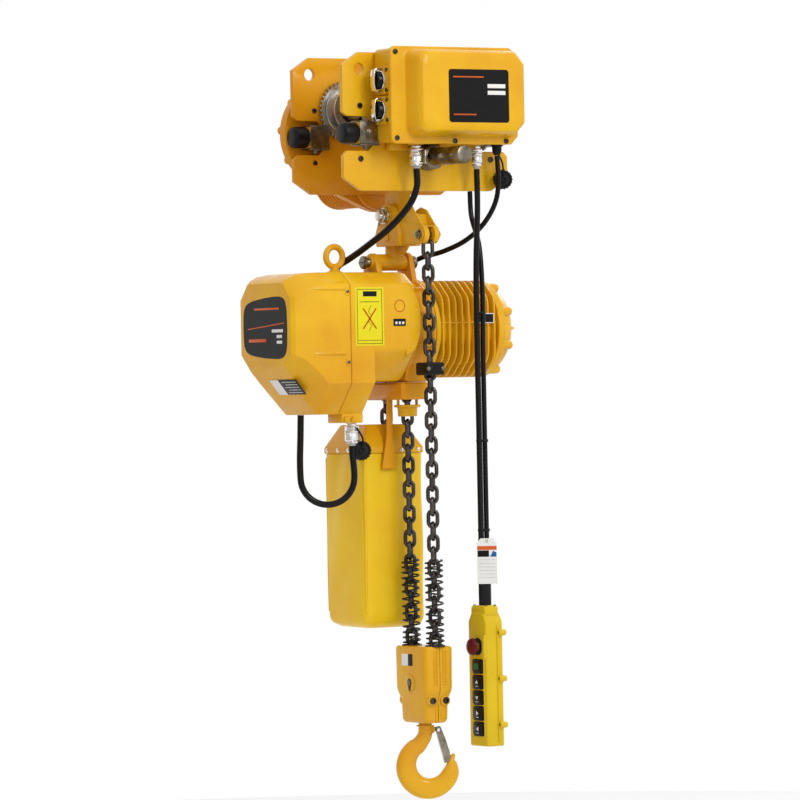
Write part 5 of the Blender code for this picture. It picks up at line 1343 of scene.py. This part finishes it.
def hook_block():
    levels = ((-1.16, 0.0215, 0.042, 0.01), (-1.1575, 0.025, 0.0455, 0.012), (-1.152, 0.0272, 0.048, 0.013),
              (-1.118, 0.028, 0.049, 0.013), (-1.111, 0.029, 0.0505, 0.013), (-1.098, 0.0322, 0.0565, 0.013),
              (-1.089, 0.033, 0.058, 0.013), (-1.016, 0.033, 0.058, 0.011), (-1.012, 0.0322, 0.057, 0.01),
              (BLOCK_Z1, 0.03, 0.055, 0.009))
    for name, side in (("left", -1), ("right", 1)):
        parts = [loft([block_half(*level, side) for level in levels])]
        for y in (-1, 1):
            for x in (0.007, 0.013):
                ribs = sorted((BLOCK_Y + y * 0.056, BLOCK_Y + y * 0.0596))
                parts.append(block((side * x - 0.0012, ribs[0], -1.086), (side * x + 0.0012, ribs[1], -1.018),
                                   0.0011))
        for y in (-1, 1):
            spot = (side * 0.015, BLOCK_Y + y * 0.047, -1.116)
            parts.append(rod(spot, (side * 0.015, BLOCK_Y + y * 0.0535, -1.116), 0.0104, 32, 0.0014))
            flare = [(BLOCK_Y + y * 0.046, -1.159), (BLOCK_Y + y * 0.05, -1.156),
                     (BLOCK_Y + y * 0.0508, -1.124), (BLOCK_Y + y * 0.046, -1.12)]
            low, high = sorted((side * 0.0006, side * 0.006))
            parts.append(prism(flare, "X", low, high, 0.0018))
        start, end = ((side * x, BLOCK_Y, BLOCK_AXLE_Z) for x in (0.032, 0.0348))
        parts.append(rod(start, end, 0.0175, 44, 0.0014))
        piece(f"block_half_{name}", parts, YELLOW, "hook_block", (f"block_shell_{name}",), 34)
    heads, nuts = [], []
    for side in (-1, 1):
        for y in (-1, 1):
            start = (side * 0.015, BLOCK_Y + y * 0.0536, -1.116)
            heads.append(cap_screw(start, (0, y, 0), 0.0066, 0.0044))
        cap = [(0.0, 0.0016), (0.004, 0.0016), (0.0052, 0.0008), (0.0056, 0.0), (0.0, 0.0)]
        nuts.append(turned(cap, (side * 0.0348, BLOCK_Y, BLOCK_AXLE_Z), (side, 0, 0), 28))
        eye = hull(arc((BLOCK_Y, BLOCK_AXLE_Z + 0.002), 0.0072, 0, 357, 40)
                   + [(BLOCK_Y - 0.003, BLOCK_AXLE_Z - 0.015), (BLOCK_Y + 0.001, BLOCK_AXLE_Z - 0.016)])
        low, high = sorted((side * 0.0346, side * 0.0356))
        heads.append(prism(eye, "X", low, high, 0.0003))
    piece("block_bolts", heads, SCREW, "hook_block")
    piece("block_nuts", nuts, DULL, "hook_block", (), 30)
    face = -0.0332
    for name, look, y0, y1 in (("white", MARK, 0.006, 0.029), ("black", INK, -0.01, 0.0057)):
        label = block((face - 0.0004, BLOCK_Y + y0, -1.048), (face + 0.0004, BLOCK_Y + y1, -1.025), 0.0001)
        piece(f"block_label_{name}", label, look, "hook_block")
    seats = [turned([(0.0149, 0.0022), (0.019, 0.0022), (0.02, 0.001), (0.02, -0.001), (0.0149, -0.001),
                     (0.0149, 0.0022)], (0, y, BLOCK_Z1 + 0.0002), Z, 40) for y in (DEAD_Y, LIVE_Y)]
    piece("spring_seats", seats, SPRING, "hook_block")


def latch():
    pivot, tip = Vector((0.025, -1.1755)), Vector((0.0415, -1.24))
    along_it = (tip - pivot).normalized()
    across = Vector((along_it.y, -along_it.x))

    def spot(run, offset, w):
        place = pivot + along_it * run + across * offset
        return in_hook_plane(place.x, place.y, w)

    length = (tip - pivot).length
    parts = []
    web = []
    for run, half in ((-0.0015, 0.008), (length * 0.3, 0.0088), (length * 0.8, 0.0086), (length, 0.008)):
        corners = ((0.0042, -half), (0.0042, half), (0.003, half), (0.003, -half))
        web.append([spot(run, offset, w) for offset, w in corners])
    parts.append(loft(web, 0.0003, 1))
    stations = ((-0.006, 0.0056, 0.0068, 0.0082), (length * 0.28, 0.0086, 0.0076, 0.0089),
                (length * 0.7, 0.01, 0.0074, 0.0087), (length * 0.9, 0.0086, 0.007, 0.0083),
                (length * 0.98, 0.003, 0.0068, 0.0081))
    for side in (-1, 1):
        wing = []
        for run, deep, inner, outer in stations:
            corners = ((-deep, inner), (-deep, outer), (0.004, outer), (0.004, inner))
            wing.append([spot(run, offset, side * w) for offset, w in corners])
        parts.append(loft(wing, 0.0003, 1))
    piece("safety_latch", parts, DULL, "latch", ("latch",), 30)
    rivet = rod(spot(0, 0, -0.0098), spot(0, 0, 0.0098), 0.0034, 24, 0.0008)
    piece("latch_rivet", rivet, CHROME, "latch")
    coil = []
    for i in range(81):
        angle = 2 * math.pi * i / 16
        coil.append(spot(0.0046 * math.sin(angle), 0.0046 * math.cos(angle), -0.005 + 0.01 * i / 80))
    piece("latch_spring", tube(coil, 0.0007, 8), SPRING, "latch")


# ---- pendant --------------------------------------------------------------------------

PEND_X0, PEND_X1, PEND_Y0, PEND_Y1 = 0.071, 0.111, -0.17, -0.106
PEND_Z0, PEND_Z1, PEND_NECK = -1.207, -0.945, -0.932
BUTTONS, BUTTON_Z, BUTTON_STEP, STOP_Z = ("start", "up", "down", "left", "right"), -1.051, 0.0305, -1.012
HINGES = (-0.985, -1.075, -1.165)


def pendant():
    middle, split = GLAND_Y, 0.0985
    shoulder = [(PEND_Y0, PEND_Z0), (PEND_Y1, PEND_Z0), (PEND_Y1, PEND_Z1 - 0.018),
                (PEND_Y1 - 0.012, PEND_Z1), (PEND_Y0 + 0.012, PEND_Z1), (PEND_Y0, PEND_Z1 - 0.018)]
    parts = [prism(shoulder, "X", x0, x1, 0.0044, 4)
             for x0, x1 in ((PEND_X0, split - 0.0003), (split + 0.0003, PEND_X1))]
    core = [(y * 0.985 + middle * 0.015, z * 0.998 - 0.002) for y, z in shoulder]
    parts.append(prism(core, "X", PEND_X0 + 0.01, PEND_X1 - 0.006, 0.002))
    neck = [(-0.163, PEND_Z1 - 0.008), (-0.113, PEND_Z1 - 0.008), (-0.113, PEND_NECK - 0.005),
            (-0.117, PEND_NECK), (-0.159, PEND_NECK), (-0.163, PEND_NECK - 0.005)]
    parts.append(prism(neck, "X", PEND_X0 + 0.003, PEND_X1 - 0.005, 0.003, 3))
    guard = [(PEND_Y0 + 0.0015, STOP_Z + 0.024), (PEND_Y0 + 0.0015, STOP_Z - 0.022),
             (PEND_Y0 + 0.005, STOP_Z - 0.026), (PEND_Y0 + 0.011, STOP_Z - 0.022),
             (PEND_Y0 + 0.011, STOP_Z + 0.02)]
    parts.append(prism(guard, "X", PEND_X0 - 0.0035, PEND_X0 + 0.004, 0.0018))
    for low, high in ((-0.0235, -0.0205), (0.0205, 0.0235)):
        parts.append(block((PEND_X0 - 0.0016, middle + low, BUTTON_Z - 4.55 * BUTTON_STEP),
                           (PEND_X0 + 0.002, middle + high, BUTTON_Z + 0.017), 0.0007))
    parts.append(block((split - 0.0018, PEND_Y0 - 0.0016, PEND_Z0 + 0.008),
                       (split + 0.0018, PEND_Y0 + 0.003, PEND_Z1 - 0.026), 0.0008))
    y = PEND_Y0 - 0.002
    for z in HINGES:
        parts.append(rod((PEND_X1 - 0.0125, y, z), (PEND_X1 + 0.0036, y, z), 0.006, 28, 0.0012))
        parts.append(block((PEND_X1 - 0.011, y - 0.001, z - 0.0085), (PEND_X1 - 0.002, y + 0.01, z + 0.0085),
                           0.0018))
    piece("pendant_body", parts, PENDANT, "trolley", ("pendant_case",), 30)
    screws = [cap_screw((x, across, PEND_NECK - 0.0002), (0, 0, 1), 0.003, 0.0016)
              for across in (-0.158, -0.118) for x in (PEND_X0 + 0.009, PEND_X1 - 0.01)]
    for z in HINGES:
        screws.append(cap_screw((PEND_X1 - 0.0128, y, z), (-1, 0, 0), 0.0026, 0.001))
    piece("pendant_screws", screws, DULL, "trolley")

    wells = []
    for i in range(len(BUTTONS)):
        z = BUTTON_Z - BUTTON_STEP * i
        ring = rounded_rectangle(middle - 0.0196, middle + 0.0196, z - 0.0146, z + 0.0146, 0.0062)
        wells.append(prism(ring, "X", PEND_X0 - 0.0006, PEND_X0 + 0.001, 0.0002))
    wells.append(turned([(0.01, 0.0016), (0.016, 0.0016), (0.017, 0.0004), (0.017, -0.001), (0.01, -0.001),
                         (0.01, 0.0016)], (PEND_X0 - 0.0006, middle, STOP_Z), -X, 44))
    piece("button_surrounds", wells, RUBBER, "trolley")
    for i, name in enumerate(BUTTONS):
        z = BUTTON_Z - BUTTON_STEP * i
        rings = []
        for x, inset, radius in ((PEND_X0, 0.0, 0.0055), (PEND_X0 - 0.0022, 0.0, 0.0055),
                                 (PEND_X0 - 0.0034, 0.0008, 0.0052), (PEND_X0 - 0.004, 0.0024, 0.0045)):
            outline = rounded_rectangle(middle - 0.0172 + inset, middle + 0.0172 - inset, z - 0.0122 + inset,
                                        z + 0.0122 - inset, radius)
            rings.append([(x, y, w) for y, w in outline])
        body = f"button_{name}"
        piece(f"{body}_cap", loft(rings), KEY, body, (body,), 40)
        button_mark(i, middle, z, body)
    profile = [(0, 0.0262), (0.006, 0.026), (0.012, 0.0248), (0.0155, 0.0225), (0.0168, 0.02), (0.017, 0.018),
               (0.0163, 0.016), (0.014, 0.0148), (0.0085, 0.014), (0.0085, 0.0114), (0, 0.0114)]
    cap = turned(profile, (PEND_X0 + 0.006, middle, STOP_Z), -X, 60)
    piece("stop_button_cap", cap, RED, "stop_button", ("stop_button",), 50)


def button_mark(index, y, z, body):
    """A plain pictogram: a square, up and down pointers, and left and right pointers."""
    face, deep = PEND_X0 - 0.0044, 0.0006
    if index == 0:
        square = rounded_rectangle(y - 0.007, y + 0.007, z - 0.006, z + 0.006, 0.0016, 3)
        piece(f"{body}_mark", prism(square, "X", face, face + deep), GREEN, body)
        return
    size = 0.0046
    shape = {1: ((-size, -size * 0.6), (size, -size * 0.6), (0, size * 0.9)),
             2: ((-size, size * 0.6), (size, size * 0.6), (0, -size * 0.9)),
             3: ((size * 0.7, -size), (size * 0.7, size), (-size * 0.9, 0)),
             4: ((-size * 0.7, -size), (-size * 0.7, size), (size * 0.9, 0))}[index]
    arrow = prism([(y + u, z + w) for u, w in shape], "X", face, face + deep)
    bar = block((face, y - 0.0046, z - 0.0085), (face + deep, y + 0.0046, z - 0.0074), 0.0001)
    piece(f"{body}_mark", [arrow, bar], MARK, body)


def tag_and_sleeve():
    """A blank card tag and the short black sleeve over the two pendant cables."""
    at = Vector((0.089, GLAND_Y - 0.0125, -0.846))
    facing = Vector((-math.sin(math.radians(38)), -math.cos(math.radians(38)), 0))
    side = Vector((-facing.y, facing.x, 0))
    lie = Matrix(((side.x, 0, facing.x, at.x), (side.y, 0, facing.y, at.y), (0, 1, 0, at.z), (0, 0, 0, 1)))

    def card(name, outline, low, high, look):
        shape = loft([[(u, v, w) for u, v in outline] for w in (low, high)], 0.0002, 1)
        piece(name, placed(shape, lie), look, "trolley")

    def panel(u0, u1, v0, v1):
        return [(u0, v0), (u1, v0), (u1, v1), (u0, v1)]

    card("tag_card", [(-0.0195, -0.044), (0.0195, -0.044), (0.0195, 0.036), (0.0125, 0.045), (-0.0125, 0.045),
                      (-0.0195, 0.036)], 0.0, 0.0008, MARK)
    card("tag_header", panel(-0.019, 0.019, 0.0225, 0.03), 0.0007, 0.0011, ACCENT)
    card("tag_panel", panel(-0.0185, 0.004, 0.009, 0.0215), 0.0007, 0.0011, INK)
    card("tag_corner", [(0.006, 0.009), (0.0185, 0.009), (0.0185, 0.0175), (0.012, 0.0205)], 0.0007, 0.0011,
         BLUE)
    for i in range(6):
        z = 0.003 - 0.007 * i
        card(f"tag_rule_{i}", panel(-0.0165, 0.0165, z, z + 0.0005), 0.0007, 0.001, SLEEVE)
    hole = placed(turned([(0.0016, 0.0014), (0.003, 0.0014), (0.003, 0.0002), (0.0016, 0.0002),
                          (0.0016, 0.0014)], (0, 0.0395, 0), Z, 24), lie)
    piece("tag_eyelet", hole, ZINC, "trolley")

    def oval(x, z, size):
        """An oval ring round both cables at height z."""
        angles = [2 * math.pi * i / 40 for i in range(40)]
        return [(x + 0.0138 * size * math.cos(a), GLAND_Y + 0.0078 * size * math.sin(a), z) for a in angles]

    profile = ((-0.9318, 0.96), (-0.93, 1.0), (-0.874, 1.0), (-0.8716, 0.97), (-0.871, 0.9))
    sleeve = loft([oval(0.0905, z, size) for z, size in profile])
    ties = [loft([oval(0.0908, z + rise, size * 0.97)
                  for rise, size in ((-0.0028, 0.97), (-0.0022, 1.0), (0.0022, 1.0), (0.0028, 0.97))])
            for z in (-0.36, -0.61, -0.785)]
    piece("cable_sleeve", [sleeve, *ties], SHEATH, "trolley", (), 40)


# ---- carried-over CAD nodes -----------------------------------------------------------

def finish_cad_nodes():
    slots = {s["node"]: s["material_slot"] for s in frame["record"]["subparts"]}
    for name, obj in nodes.items():
        look = SLOT_LOOKS[slots[name]]
        if not obj.data.materials:
            obj.data.materials.append(look)
        for place in obj.material_slots:
            place.material = look


camera_and_lights()
finish_cad_nodes()
cords()
side_plates()
wheels()
bumpers()
suspension_shaft()
travel_drive()
electric_box()
glands()
hanging_cap("box_socket_cap", (0.163, -0.121, -0.098), (-0.45, -0.89, 0), "trolley", (0.141, -0.128, -0.036))
hanging_cap("socket_cap", (-0.108, -0.012, -0.625), (-0.4, -0.9, 0.15), "hoist", (-0.124, -0.022, -0.58))
suspension()
hoist_covers()
side_stickers()
sheave_housing()
hoist_motor()
eye_bolt()
chain_guide()
chain_container()
chains()
buffer_springs()
hook_block()
hook()
latch()
pendant()
tag_and_sleeve()
